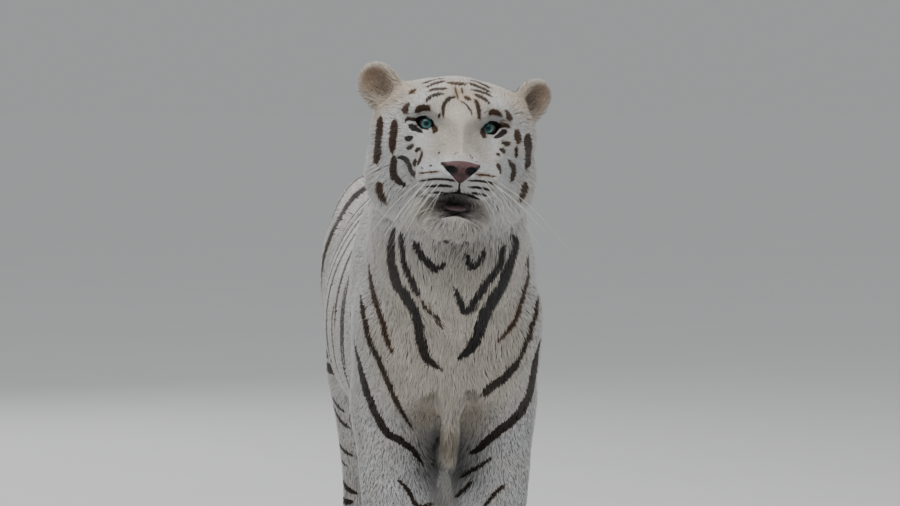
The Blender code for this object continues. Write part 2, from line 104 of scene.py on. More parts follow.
class Field(Distances):
    """Distances where three axes cross."""

    def __init__(self, axes):
        self.axes = axes
        self.values = np.full([len(a) for a in axes], REACH, np.float32)

    def near(self, low, high):
        """The part of the field round a box, and its coordinates."""
        place = tuple(slice(*np.searchsorted(a, (low[i] - REACH, high[i] + REACH)))
                      for i, a in enumerate(self.axes))
        x, y, z = (a[s] for a, s in zip(self.axes, place))
        return place, (x[:, None, None], y[None, :, None], z[None, None, :])

    def where(self, chosen):
        return np.stack([a[i] for a, i in zip(self.axes, np.nonzero(chosen))], 1)


class Cloud(Distances):
    """Distances at loose points."""

    def __init__(self, points):
        self.points = points.astype(np.float32)
        self.values = np.full(len(points), REACH, np.float32)

    def near(self, low, high):
        inside = ((self.points > low - REACH) & (self.points < high + REACH)).all(1)
        place = np.nonzero(inside)[0]
        return place, self.points[place].T

    def where(self, chosen):
        return self.points[chosen]


def lesser(a, b, blend):
    """The lesser of two distances, rounded over a blend where they are close."""
    overlap = np.maximum(blend - np.abs(a - b), 0) / blend
    return np.minimum(a, b) - overlap * overlap * blend / 4


def axes_at(origin=(0, 0, 0), turn=(0, 0, 0), within=None):
    """A place and a rotation matrix, inside another such pair where one is given."""
    matrix = np.array(Euler([math.radians(t) for t in turn]).to_matrix())
    if within is None:
        return np.array(origin, float), matrix
    return within[1] @ np.array(origin, float) + within[0], within[1] @ matrix


def into(axes, points):
    """Points in a frame's own coordinates."""
    return (points - axes[0]) @ axes[1]


def out_of(axes, points):
    return np.asarray(points, float) @ axes[1].T + axes[0]


class Form:
    """A distance function in a frame of its own, with the box that it fills."""

    def __init__(self, low, high, distance, within=None, mirror=False):
        self.within = within or axes_at()
        self.distance = distance
        self.mirror = mirror
        corners = np.array([(x, y, z) for x in (low[0], high[0])
                            for y in (low[1], high[1]) for z in (low[2], high[2])])
        if mirror:
            corners = np.concatenate([corners, corners * (-1, 1, 1)])
        placed = out_of(self.within, corners)
        self.box = placed.min(0), placed.max(0)

    def at(self, x, y, z):
        origin, turn = (v.astype(np.float32) for v in self.within)
        x, y, z = x - origin[0], y - origin[1], z - origin[2]
        x, y, z = (turn[0, i] * x + turn[1, i] * y + turn[2, i] * z for i in range(3))
        return self.distance(np.abs(x) if self.mirror else x, y, z).astype(np.float32)


def egg(centre, radii, turn=(0, 0, 0), within=None, mirror=False, power=2.0):
    """An ellipsoid, squarer where its power is above 2."""
    origin, matrix = axes_at(centre, turn)
    spin = matrix.astype(np.float32)

    def distance(x, y, z):
        x, y, z = x - origin[0], y - origin[1], z - origin[2]
        u, v, w = (spin[0, i] * x + spin[1, i] * y + spin[2, i] * z for i in range(3))
        far = np.sqrt(u * u + v * v + w * w) + 1e-6
        parts = (np.abs(p / r) ** power for p, r in zip((u, v, w), radii))
        ratio = sum(parts) ** (1 / power) + 1e-6
        return np.maximum(far * (1 - 1 / ratio), -min(radii))

    reach = np.abs(matrix * radii).sum(1)
    return Form(origin - reach, origin + reach, distance, within, mirror)


def along(values, steps):
    """Points of a smooth curve through a few rows of values."""
    rows = np.array(values, float)
    t = np.linspace(0, len(rows) - 1, steps + 1)
    i = np.minimum(t.astype(int), len(rows) - 2)
    f = (t - i)[:, None]
    ends = np.concatenate([[2 * rows[0] - rows[1]], rows, [2 * rows[-1] - rows[-2]]])
    a, b, c, d = (ends[i + k] for k in range(4))
    return b + 0.5 * f * (c - a + f * (2 * a - 5 * b + 4 * c - d + f * (3 * b - a - 3 * c + d)))


def tube(stations, steps, within=None, side=0):
    """A limb through stations (x, y, z, half width, half depth).

    Its width lies along the frame's axis numbered side, and its depth across that.
    """
    rows = along(stations, steps)

    def distance(x, y, z):
        nearest = None
        for a, b in zip(rows[:-1], rows[1:]):
            run = (b - a)[:3]
            t = (x - a[0]) * run[0] + (y - a[1]) * run[1] + (z - a[2]) * run[2]
            t = np.clip(t / float(run @ run), 0, 1)
            away = [p - a[i] - t * run[i] for i, p in enumerate((x, y, z))]
            here = away[0] ** 2 + away[1] ** 2 + away[2] ** 2
            wide, deep = a[3] + t * (b[3] - a[3]), a[4] + t * (b[4] - a[4])
            if nearest is None:
                nearest, across, widest, deepest = here, away[side], wide, deep
            closer = here < nearest
            nearest = np.where(closer, here, nearest)
            across = np.where(closer, away[side], across)
            widest, deepest = np.where(closer, wide, widest), np.where(closer, deep, deepest)
        square = (across / widest) ** 2 + (nearest - across ** 2) / deepest ** 2
        inward = 1 - 1 / (np.sqrt(np.maximum(square, 0)) + 1e-6)
        return np.maximum(np.sqrt(nearest) * inward, -np.minimum(widest, deepest))

    reach = rows[:, 3:].max(1)[:, None]
    return Form((rows[:, :3] - reach).min(0), (rows[:, :3] + reach).max(0), distance, within)


def barrel(stations, cap, lean=0.46):
    """The trunk through stations (y, top, bottom, half width), widest at lean of its height."""
    rows = along(stations, 120)

    def distance(x, y, z):
        here = np.clip(y, rows[0, 0], rows[-1, 0])
        top, bottom, wide = (np.interp(here, rows[:, 0], rows[:, k]) for k in (1, 2, 3))
        level = bottom + lean * (top - bottom)
        rise, past = z - level, y - here
        tall = np.where(rise > 0, top - level, level - bottom)
        power = np.where(rise > 0, 1.82, 2.4)
        ratio = np.abs(x / wide) ** power + np.abs(rise / tall) ** power
        ratio = (ratio + np.abs(past / cap) ** power) ** (1 / power) + 1e-6
        far = np.sqrt(x * x + rise * rise + past * past)
        return np.maximum(far * (1 - 1 / ratio), -REACH)

    wide = rows[:, 3].max()
    low = (-wide, rows[0, 0] - cap, rows[:, 2].min())
    return Form(low, (wide, rows[-1, 0] + cap, rows[:, 1].max()), distance)


# ---------------------------------------------------------------- the forms of the body

BODY = axes_at()
HEAD = axes_at(EYES, HEAD_TURN)
SIDES = ((-1, "right"), (1, "left"))


def shape_trunk(body):
    body.add(barrel([
        (-0.13, 0.88, 0.54, 0.118),
        (0, WITHERS_HEIGHT - 0.006, 0.475, 0.148),
        (0.18, WITHERS_HEIGHT - 0.006, 0.435, 0.178),
        (0.36, BACK_HEIGHT, BELLY_HEIGHT, TRUNK_HALF_WIDTH - 0.004),
        (0.54, BACK_HEIGHT - 0.005, 0.438, TRUNK_HALF_WIDTH),
        (0.72, BACK_HEIGHT, 0.472, TRUNK_HALF_WIDTH - 0.012),
        (0.88, BACK_HEIGHT, 0.54, 0.165),
        (1.02, 0.895, 0.64, 0.13),
    ], cap=0.09), 0.001)
    body.add(egg((0, 0.04, WITHERS_HEIGHT - 0.07), (0.076, 0.17, 0.074)), 0.06)
    body.add(egg((0, -0.122, 0.692), (0.118, 0.105, 0.142), (-12, 0, 0)), 0.06)  # breast
    for side in (-1, 1):  # pits beside the keel
        body.carve(tube([
            (side * 0.03, -0.176, 0.56, 0.006, 0.02),
            (side * 0.038, -0.16, 0.52, 0.015, 0.045),
            (side * 0.044, -0.13, 0.47, 0.022, 0.06),
            (side * 0.044, -0.1, 0.42, 0.022, 0.06),
        ], 8), 0.022)
    body.add(tube([  # loose skin of the keel
        (0, -0.18, 0.7, 0.045, 0.04),
        (0, -0.168, 0.6, 0.022, 0.046),
        (0, -0.14, 0.51, 0.017, 0.046),
        (0, -0.095, 0.448, 0.017, 0.034),
        (0, 0.02, 0.44, 0.024, 0.028),
    ], 12), 0.028)
    body.add(egg((0, 1, 0.815), (0.12, 0.16, 0.105), (-20, 0, 0)), 0.07)  # croup


def shape_neck(body):
    x = EYES[0]
    body.add(tube([
        (0, 0.08, 0.78, 0.138, 0.158),
        (0.2 * x, -0.08, 0.808, 0.148, 0.182),
        (0.6 * x, -0.21, 0.868, 0.146, 0.188),
        (0.9 * x, -0.32, 0.938, 0.134, 0.166),
        (x, -0.4, 0.998, 0.118, 0.132),
    ], 16), 0.08)


# Toes of a foot of size 1: places from its middle, and half widths
TOES = ((0.045, -0.046, 0.025, 0.0205), (0.0165, -0.068, 0.029, 0.0225))
TOE_SPLAY = 300  # degrees outward for each metre from the middle
FOOT_TURN = 5


def hind_back(side):
    return LEFT_HIND_BACK if side > 0 else RIGHT_HIND_BACK


def feet(side):
    """A side's feet: name, place and size."""
    return (("forepaw", side * FORELEG_APART + side * 0.005, -0.054, 1.1),
            ("hindpaw", side * HINDLEG_APART - side * 0.001, HINDLEG_Y + hind_back(side), 0.98))


def shape_foot(body, side, x, y, size):
    """A foot flat on the floor, with four toes and turned a little outward."""
    foot = axes_at((x, y, 0), (0, 0, side * FOOT_TURN))
    pad = (0.06 * size, 0.066 * size, 0.05 * size)
    body.add(egg((0, 0.012 * size, 0.04 * size), pad, within=foot, power=2.4), 0.03)
    for toe_x, toe_y, height, half in TOES:
        for toe_side in (-1, 1):
            centre = (toe_side * toe_x * size, toe_y * size, height * size)
            radii = (half * size, 0.031 * size, half * 1.2 * size)
            body.add(egg(centre, radii, (-10, 0, -toe_side * toe_x * TOE_SPLAY), foot), 0.01)


def shape_foreleg(body, side):
    x = side * FORELEG_APART

    def limb(rows, steps, blend):
        body.add(tube([(x + side * out, *rest) for out, *rest in rows], steps), blend)

    body.add(egg((x + side * 0.007, 0.005, 0.75), (0.076, 0.125, 0.195), (-22, 0, 0)), 0.05)
    limb([  # upper arm
        (0.018, -0.112, 0.69, 0.068, 0.085),
        (0.019, -0.04, 0.6, 0.069, 0.098),
        (0.011, 0.035, 0.52, 0.068, 0.085),
    ], 8, 0.05)
    limb([  # forearm and wrist
        (0.01, 0.015, 0.53, 0.074, 0.088),
        (0.004, -0.004, 0.44, 0.076, 0.082),
        (0, -0.014, 0.34, 0.07, 0.07),
        (-0.002, -0.016, 0.24, 0.057, 0.057),
        (-0.001, -0.02, 0.16, 0.053, 0.052),
        (0.001, -0.03, 0.085, 0.055, 0.048),
    ], 16, 0.04)
    body.add(egg((x + side * 0.01, 0.082, 0.5), (0.036, 0.04, 0.05)), 0.03)  # elbow
    body.add(egg((x - side * 0.005, 0.036, 0.165), (0.018, 0.016, 0.018)), 0.02)  # wrist pad
    shape_foot(body, side, *feet(side)[0][1:])


def shape_hindleg(body, side):
    x, y, back = side * HINDLEG_APART, HINDLEG_Y, hind_back(side)

    def limb(rows, steps, blend):
        """Each row has its place behind the leg's middle, and its share of the leg's step."""
        body.add(tube([(x + side * out, y + behind + back * share, *rest)
                       for out, behind, share, *rest in rows], steps), blend)

    body.add(egg((x - side * 0.008, y - 0.07, 0.735), (0.078, 0.17, 0.175), (20, 0, 0)), 0.06)
    limb([  # back of the thigh
        (-0.022, 0.085, 0, 0.79, 0.07, 0.07),
        (-0.008, 0.045, 0.3, 0.68, 0.074, 0.08),
        (0, -0.01, 0.6, 0.56, 0.066, 0.078),
        (0.002, -0.06, 0.7, 0.47, 0.05, 0.058),
    ], 10, 0.05)
    limb([  # front of the thigh
        (-0.002, -0.12, 0, 0.72, 0.08, 0.115),
        (0.007, -0.15, 0.4, 0.61, 0.076, 0.11),
        (0.008, -0.165, 0.6, 0.52, 0.066, 0.084),
    ], 8, 0.05)
    limb([  # shank and hock
        (0.007, -0.158, 0.6, 0.52, 0.062, 0.078),
        (0.005, -0.085, 0.8, 0.43, 0.057, 0.082),
        (0.001, 0, 1, 0.345, 0.047, 0.063),
        (-0.002, 0.068, 1, 0.272, 0.04, 0.048),
        (-0.003, 0.07, 1, 0.195, 0.041, 0.043),
        (-0.003, 0.053, 1, 0.115, 0.045, 0.043),
        (-0.002, 0.035, 1, 0.065, 0.048, 0.044),
    ], 20, 0.04)
    body.add(egg((x - side * 0.003, y + 0.108 + back, 0.275), (0.025, 0.028, 0.036)), 0.025)
    shape_foot(body, side, *feet(side)[1][1:])


def shape_tail(body):
    body.add(tube([
        (0, 1.06, 0.85, 0.06, 0.062),
        (0, 1.17, 0.8, 0.045, 0.05),
        (0.004, 1.255, 0.68, 0.038, 0.04),
        (0.012, 1.31, 0.54, 0.035, 0.036),
        (0.026, 1.36, 0.4, 0.033, 0.033),
        (0.046, 1.44, 0.29, 0.031, 0.031),
        (0.07, 1.55, 0.245, 0.03, 0.03),
        (0.094, 1.655, 0.27, 0.029, 0.029),
        (0.112, 1.725, 0.34, 0.025, 0.025),
    ], 36), 0.045)


def head_eggs(body, *rows):
    """Eggs (centre, radii, blend, turn if any); those off the middle stand on both sides."""
    for centre, radii, blend, *turn in rows:
        body.add(egg(centre, radii, *turn, within=HEAD, mirror=centre[0] != 0), blend)


def shape_skull(body):
    """The head without its muzzle, ears and eyes."""
    head_eggs(
        body,
        ((0, 0.09, 0), (0.1, 0.112, 0.082), 0.05),
        ((0, 0.16, -0.02), (0.096, 0.1, 0.09), 0.05),  # nape
        ((0.092, 0.088, -0.012), (0.057, 0.066, 0.06), 0.03),  # temple
        ((0.076, 0.092, 0.035), (0.05, 0.062, 0.036), 0.03, (0, 20, 0)),
        ((0.09, 0.082, -0.085), (0.063, 0.066, 0.082), 0.03, (0, -4, 0)),  # ruff
        ((0, 0.095, -0.11), (0.105, 0.085, 0.075), 0.04),  # throat
        ((0.07, 0.03, -0.04), (0.052, 0.044, 0.04), 0.03),  # cheekbone
        ((0.074, 0.036, -0.098), (0.042, 0.05, 0.048), 0.03),  # jowl
        ((0.048, 0.012, 0.03), (0.042, 0.032, 0.019), 0.025, (0, 14, 0)),  # brow
    )


def shape_muzzle(body):
    head_eggs(body, ((0.052, -0.022, -0.062), (0.036, 0.058, 0.04), 0.03, (8, 0, -14)))
    body.add(tube([  # bridge of the nose
        (0, 0.055, 0.046, 0.062, 0.034),
        (0, 0, 0.013, 0.042, 0.033),
        (0, -0.055, -0.023, 0.037, 0.032),
        (0, -0.108, -0.06, 0.033, 0.023),
    ], 8, HEAD), 0.025)
    body.add(tube([  # upper jaw
        (0, 0.03, -0.085, 0.078, 0.052),
        (0, -0.035, -0.088, 0.067, 0.041),
        (0, -0.085, -0.09, 0.058, 0.035),
    ], 6, HEAD), 0.03)
    head_eggs(
        body,
        ((0.035, -0.093, -0.095), (0.038, 0.042, 0.031), 0.022, (0, -14, 0)),  # whisker pads
        ((0, -0.117, -0.077), (0.033, 0.025, 0.019), 0.012),  # nose pad
    )
    body.add(tube([  # lower jaw
        (0, 0.06, -0.125, 0.09, 0.054),
        (0, -0.015, -0.15, 0.066, 0.043),
        (0, -0.072, -0.164, 0.048, 0.032),
    ], 6, HEAD), 0.03)
    head_eggs(body, ((0, -0.081, -0.169), (0.046, 0.033, 0.03), 0.015))  # chin


def mouth_forms():
    """The space between the parted lips, arched from corner to corner, and the hollow behind."""
    corner = (0.05, -0.076, -0.155, 0.032, 0.0055)
    cheek = (0.03, -0.095, -0.143, 0.046, 0.0118)
    middle = (0, -0.11, -0.134, 0.052, 0.0155)
    left = [corner, cheek]
    right = [(-x, y, z, deep, tall) for x, y, z, deep, tall in reversed(left)]
    lips = tube(left + [middle] + right, 12, HEAD, side=1)
    return lips, egg((0, -0.08, -0.135), (0.036, 0.052, 0.012), within=HEAD)


def carve_mouth(body):
    lips, hollow = mouth_forms()
    body.carve(lips, 0.008)
    body.carve(hollow, 0.006)


def ear_axes(side):
    yaw, drop, shift = EARS[side]
    place = (side * (0.111 + shift), 0.098, 0.04 - drop)
    return axes_at(place, (8, side * 44, side * yaw), HEAD)


def ear_hollow(side):
    return egg((0, -0.021, 0.04), (0.029, 0.027, 0.0325), within=ear_axes(side))


def shape_ear(body, side):
    body.add(egg((0, 0.004, 0.034), (0.038, 0.02, 0.045), within=ear_axes(side)), 0.022)
    body.carve(ear_hollow(side), 0.01)


def shape_body(body):
    """Every form of the tiger out to the tips of its coat, but for the lids."""
    shape_trunk(body)
    shape_neck(body)
    shape_tail(body)
    for side in (-1, 1):
        shape_foreleg(body, side)
        shape_hindleg(body, side)
    shape_skull(body)
    shape_muzzle(body)
    carve_mouth(body)
    for side in (-1, 1):
        shape_ear(body, side)


# ---------------------------------------------------------------- the lie and depth of the coat

# Guides: place, reach, direction of the hair, then in millimetres the depth of the coat, a
# tuft's length and width, and the space between tufts. The right side mirrors the left.
BODY_COAT = [
    ((0, 0.02, 0.93), 0.12, (0, 1, 0), 6, 19, 3.2, 4.3),  # withers
    ((0, 0.4, 0.92), 0.18, (0, 1, 0), 5.5, 19, 3.4, 4.6),  # back
    ((0, 0.85, 0.9), 0.15, (0, 1, -0.1), 5.5, 19, 3.4, 4.6),  # rump
    ((0.16, 0, 0.78), 0.12, (0.1, 0.8, -0.6), 6, 17, 2.8, 3.8),  # shoulder
    ((0.15, -0.06, 0.62), 0.09, (0.2, 0.6, -0.8), 6.5, 17, 2.7, 3.6),  # upper arm
    ((0.19, 0.28, 0.68), 0.15, (0, 1, -0.3), 3, 18, 3.2, 4.5),  # ribs
    ((0.2, 0.6, 0.68), 0.16, (0, 1, -0.35), 3.5, 19, 3.4, 4.6),  # flank
    ((0.17, 0.92, 0.66), 0.13, (0, 0.7, -0.8), 6, 18, 3.2, 4.5),  # thigh
    ((0, 1.08, 0.76), 0.08, (0, 0.2, -1), 9, 22, 3.4, 4.8),  # buttocks
    ((0.05, 0.35, 0.44), 0.18, (0, 1, -0.1), 14, 32, 3.6, 5),  # belly
    ((0.04, 0.75, 0.5), 0.1, (0, 0.9, -0.4), 13, 30, 3.6, 5.2),  # groin
    ((0, -0.24, 0.74), 0.08, (0, 0.1, -1), 14, 34, 2.8, 3.4),  # breast
    ((0.08, -0.21, 0.66), 0.07, (0.25, 0.2, -1), 12, 28, 2.6, 3.4),
    ((0, -0.18, 0.55), 0.06, (0, 0.25, -1), 13, 34, 2.6, 3.2),  # keel
    ((0, -0.05, 0.46), 0.06, (0, 0.7, -0.7), 13, 32, 2.8, 3.8),
    ((0.13, -0.24, 0.84), 0.09, (0.2, 0.7, -0.7), 11, 26, 2.8, 3.6),  # side of the neck
    ((0, -0.22, 1.03), 0.1, (0, 1, -0.3), 10, 22, 3, 4.2),  # top of the neck
    ((0, -0.33, 0.86), 0.08, (0, 0.2, -1), 15, 34, 2.8, 3.6),  # throat
    ((0.12, -0.02, 0.46), 0.09, (0, 0.2, -1), 6, 16, 2.6, 3.6),  # foreleg
    ((0.09, -0.02, 0.27), 0.1, (0, 0.1, -1), 5, 13, 2.4, 3.5),
    ((0.09, -0.04, 0.12), 0.07, (0, -0.1, -1), 4, 10, 2.2, 3.3),
    ((0.09, -0.1, 0.04), 0.05, (0, -0.9, -0.4), 2.5, 8, 2, 3),  # forepaw
    ((0.12, 0.88, 0.45), 0.1, (0, 0.6, -1), 7, 18, 2.8, 4.2),  # shank
    ((0.1, 1.05, 0.25), 0.1, (0, 0.1, -1), 5, 13, 2.4, 3.8),
    ((0.1, 1.03, 0.12), 0.06, (0, -0.2, -1), 4, 11, 2.3, 3.6),
    ((0.1, 0.95, 0.04), 0.05, (0, -0.9, -0.4), 2.5, 8, 2, 3.2),  # hind paw
    ((0, 1.15, 0.82), 0.06, (0, 0.75, -0.65), 7, 19, 2.8, 4),  # tail
    ((0.01, 1.28, 0.62), 0.1, (0, 0.3, -1), 7, 19, 2.6, 3.8),
    ((0.03, 1.38, 0.36), 0.07, (0.05, 0.6, -0.8), 7, 19, 2.6, 3.8),
    ((0.06, 1.52, 0.25), 0.07, (0.1, 1, -0.2), 7, 19, 2.6, 3.8),
    ((0.1, 1.7, 0.31), 0.05, (0.1, 0.6, 0.75), 6, 18, 2.4, 3.5),
]
HEAD_COAT = [
    ((0, -0.105, -0.045), 0.018, (0, 0.8, 0.6), 1, 5, 1.1, 1.9),  # above the nose
    ((0, -0.05, -0.005), 0.03, (0, 0.9, 0.5), 1.8, 7, 1.2, 2.1),  # bridge
    ((0, -0.005, 0.04), 0.025, (0, 0.7, 0.7), 3.5, 9, 1.3, 2.2),  # forehead
    ((0.045, 0.02, 0.06), 0.03, (0.2, 0.8, 0.6), 4.5, 11, 1.5, 2.4),
    ((0, 0.09, 0.085), 0.045, (0, 1, 0.1), 6, 14, 2, 3),  # crown
    ((0, 0.2, 0.07), 0.05, (0, 1, -0.3), 9, 20, 2.6, 3.8),  # nape
    ((0.03, -0.015, -0.005), 0.014, (0.4, 0.6, 0.7), 1.2, 5, 1.1, 1.9),  # inner corner
    ((0.055, 0, 0.026), 0.014, (0.3, 0.6, 0.75), 2, 7, 1.2, 2),  # brow
    ((0.085, 0.022, 0.002), 0.016, (0.8, 0.6, 0), 2, 8, 1.3, 2.1),  # outer corner
    ((0.058, -0.002, -0.026), 0.014, (0.7, 0.7, -0.3), 1.4, 6, 1.2, 2),  # under the eye
    ((0.045, -0.05, -0.045), 0.025, (0.6, 0.8, 0.1), 1.8, 7, 1.2, 2.1),  # side of the nose
    ((0.04, -0.125, -0.09), 0.02, (0.85, 0.5, -0.15), 1.6, 6, 1.2, 2),  # whisker pads
    ((0.062, -0.085, -0.095), 0.022, (0.8, 0.7, -0.25), 2, 8, 1.3, 2.1),
    ((0.085, 0.015, -0.055), 0.028, (0.7, 0.7, -0.3), 4, 11, 1.5, 2.4),  # cheek
    ((0.125, 0.065, 0.01), 0.035, (0.6, 0.8, -0.1), 6, 13, 1.8, 2.7),  # temple
    ((0.135, 0.075, -0.08), 0.045, (0.45, 0.6, -0.7), 11, 23, 2.2, 3),  # ruff
    ((0.1, 0.05, -0.15), 0.035, (0.3, 0.5, -0.9), 13, 28, 2.2, 3),
    ((0, -0.108, -0.165), 0.018, (0, -0.1, -1), 5, 15, 1.3, 2.1),  # chin
    ((0.03, -0.085, -0.185), 0.022, (0.2, 0.1, -1), 8, 22, 1.5, 2.4),
    ((0, -0.115, -0.147), 0.008, (0, -0.3, -1), 0.8, 4, 1, 1.8),  # lower lip
    ((0, -0.01, -0.195), 0.04, (0, 0.6, -0.8), 12, 26, 2, 3),  # under the jaw
]
EAR_COAT = [
    ((0, 0.02, 0.04), 0.02, (0, 0.1, 1), 2.5, 10, 1.6, 2.4),  # back
    ((0, -0.004, 0.045), 0.014, (0, 0, 1), 1.2, 8, 1.1, 2.2),  # hollow
    ((0, -0.004, 0.078), 0.014, (0, 0, 1), 1.5, 7, 1.2, 2),  # rim
    ((-0.02, -0.01, 0.008), 0.014, (0.2, -0.2, 1), 3, 14, 1.3, 2.3),  # root
]


def coat_guides():
    """Every guide in the body's frame: places, reaches, directions and sizes in metres."""
    rows = []
    for table, axes, sides in ((BODY_COAT, BODY, (-1, 1)), (HEAD_COAT, HEAD, (-1, 1)),
                               (EAR_COAT, ear_axes(-1), (-1,)), (EAR_COAT, ear_axes(1), (1,))):
        for place, reach, comb, *sizes in table:
            for side in sides if place[0] or len(sides) == 1 else (1,):
                flip = np.array((side, 1, 1))
                rows.append((*out_of(axes, place * flip), reach,
                             *(axes[1] @ (np.array(comb) * flip)), *(s / 1000 for s in sizes)))
    return np.array(rows, np.float32)


DEPTH = slice(7, 8)  # of a guide's values, the coat's depth
FROM_DIRECTION = slice(4, None)  # the direction, depth, length, width and space


def coat_at(points, columns=FROM_DIRECTION):
    """The guides' values at points, each guide weighted by its nearness."""
    guides = coat_guides()
    total = np.zeros((len(points), guides[:, columns].shape[1]), np.float32)
    weights = np.full(len(points), 1e-12, np.float32)
    for guide in guides:
        away = ((points - guide[:3]) ** 2).sum(1) / guide[3] ** 2
        weight = 1 / (0.02 + away) ** 3
        total += weight[:, None] * guide[columns]
        weights += weight
    return total / weights[:, None]


# ---------------------------------------------------------------- skin

EYE_WIDE = 0.015  # half the width of the opening between the lids
EYE_TALL = 0.0096
LID_DROP = 0.0008  # of the opening below the middle of the eyeball
BAND = 0.03  # how far from the surface the coat's depth is worked out


def eye_axes(side):
    return axes_at((side * EYE_APART, EYE_DEPTH, 0), (-4, -side * 13, side * 12), HEAD)


def lids_gap(x, z):
    """Signed distance to the opening between the lids, in an eye's frame, from two arcs."""
    arc = (EYE_WIDE ** 2 + EYE_TALL ** 2) / (2 * EYE_TALL)
    z = z + LID_DROP
    upper = np.sqrt(x * x + (z + arc - EYE_TALL) ** 2) - arc
    lower = np.sqrt(x * x + (z - arc + EYE_TALL) ** 2) - arc
    return np.maximum(upper, lower)


def almond(eye):
    def distance(x, y, z):
        flare = np.maximum(-y - 0.0165, 0) * 0.8
        return np.maximum(lids_gap(x, z) - flare, y + 0.002)

    return Form((-EYE_WIDE, -0.05, -EYE_TALL), (EYE_WIDE, -0.002, EYE_TALL), distance, eye)


def draw_in(body):
    """Move the surface in by the depth of the coat."""
    close = np.abs(body.values) < BAND
    body.values[close] += coat_at(body.where(close), DEPTH)[:, 0]


def shape_face(skin):
    """The lids and the folds that no coat hides."""
    for side in (-1, 1):
        eye = eye_axes(side)
        skin.add(egg((0, 0, 0), [EYE_RADIUS + 0.0024] * 3, within=eye), 0.01)
        skin.add(tube([  # fold of the upper lid
            (-0.02, -0.009, 0.003, 0.0034, 0.0034),
            (-0.008, -0.019, 0.0128, 0.004, 0.004),
            (0.008, -0.019, 0.0128, 0.004, 0.004),
            (0.02, -0.009, 0.003, 0.0034, 0.0034),
        ], 8, eye), 0.004)
        skin.carve(almond(eye), 0.0022)
    head_eggs(skin, ((0.021, -0.122, -0.076), (0.013, 0.016, 0.012), 0.008))
    carve_nostrils(skin, 0.0012)
    skin.carve(tube([  # philtrum
        (0, -0.136, -0.092, 0.0022, 0.006),
        (0, -0.139, -0.104, 0.0022, 0.006),
        (0, -0.134, -0.118, 0.0022, 0.006),
    ], 4, HEAD), 0.004)


def nostril_forms(grow=0.0):
    """On each side a deep hole, and a slit that curls up and out from it."""
    made = []
    for side in (-1, 1):
        hole = (0.01 + grow, 0.017, 0.0076 + grow)
        made.append(egg((side * 0.0172, -0.146, -0.0795), hole, (10, side * 20, -side * 20), HEAD))
        made.append(tube([
            (side * 0.022, -0.146, -0.079, 0.0052 + grow, 0.0052 + grow),
            (side * 0.029, -0.138, -0.075, 0.0044 + grow, 0.0044 + grow),
            (side * 0.0355, -0.127, -0.069, 0.0026 + grow, 0.0026 + grow),
        ], 6, HEAD))
    return made


def carve_nostrils(body, grow=0.0):
    for form in nostril_forms(grow):
        body.carve(form, 0.0035)


def shape_skin(skin):
    shape_body(skin)
    draw_in(skin)
    shape_face(skin)


def surface(field, name):
    """The mesh where the field is zero, with faces that point outward."""
    grid = openvdb.FloatGrid(background=REACH)
    grid.copyFromArray(field.values)
    points, quads = grid.convertToQuads(0.0)
    places = [np.interp(points[:, i], np.arange(len(a)), a) for i, a in enumerate(field.axes)]
    mesh = bpy.data.meshes.new(name)
    mesh.from_pydata(np.stack(places, 1).tolist(), [], quads.tolist())
    return mesh


def rows_of(things, name, kind=np.float32):
    """One row of three values for each thing."""
    values = np.empty(len(things) * 3, kind)
    things.foreach_get(name, values)
    return values.reshape(-1, 3)


def places_of(mesh):
    return rows_of(mesh.vertices, "co")


def normals_of(mesh):
    return rows_of(mesh.vertex_normals, "vector")


def move(mesh, points):
    mesh.vertices.foreach_set("co", points.ravel())
    mesh.update()


def refine(mesh, near):
    """Halve the edges that near picks, from the places of their ends."""
    bm = bmesh.new()
    bm.from_mesh(mesh)
    points = places_of(mesh)
    ends = np.array([(e.verts[0].index, e.verts[1].index) for e in bm.edges])
    chosen = near(points[ends].mean(1))
    bm.edges.ensure_lookup_table()
    bmesh.ops.subdivide_edges(bm, edges=[bm.edges[i] for i in np.nonzero(chosen)[0]],
                              cuts=1, use_grid_fill=True)
    bm.to_mesh(mesh)
    bm.free()


FIT_STEP = 0.002  # the farthest that a vertex moves in one round
FIT_SHARE = 0.8  # of its distance, that it moves


def fit(mesh, near, shape, rounds=3):
    """Bring the vertices that near picks onto the exact surface."""
    for _ in range(rounds):
        points = places_of(mesh)
        chosen = near(points)
        cloud = Cloud(points[chosen])
        shape(cloud)
        step = np.clip(cloud.values, -FIT_STEP, FIT_STEP)[:, None]
        points[chosen] -= normals_of(mesh)[chosen] * step * FIT_SHARE
        move(mesh, points)


def soften(mesh, near, rounds):
    """Even out the creases between forms where near picks."""
    bm = bmesh.new()
    bm.from_mesh(mesh)
    bm.verts.ensure_lookup_table()
    chosen = [bm.verts[i] for i in np.nonzero(near(places_of(mesh)))[0]]
    for _ in range(rounds):
        bmesh.ops.smooth_vert(bm, verts=chosen, factor=0.5, use_axis_x=True, use_axis_y=True, use_axis_z=True)
    bm.to_mesh(mesh)
    bm.free()


def on_bridge(points):
    x, y, z = into(HEAD, points).T
    return (np.abs(x) < 0.033) & (y > -0.098) & (y < 0.04) & (z > -0.062) & (z < 0.062)


def on_head(points):
    _, y, z = into(HEAD, points).T
    return (y < 0.12) & (z > -0.22)


def on_face(points):
    """Round the eyes, and from the nose to the lips."""
    x, y, z = into(HEAD, points).T
    eyes = (np.abs(np.abs(x) - EYE_APART) < 0.03) & (np.abs(z) < 0.028) & (y < 0.03)
    return eyes | ((y < -0.07) & (z < -0.06) & (z > -0.16))


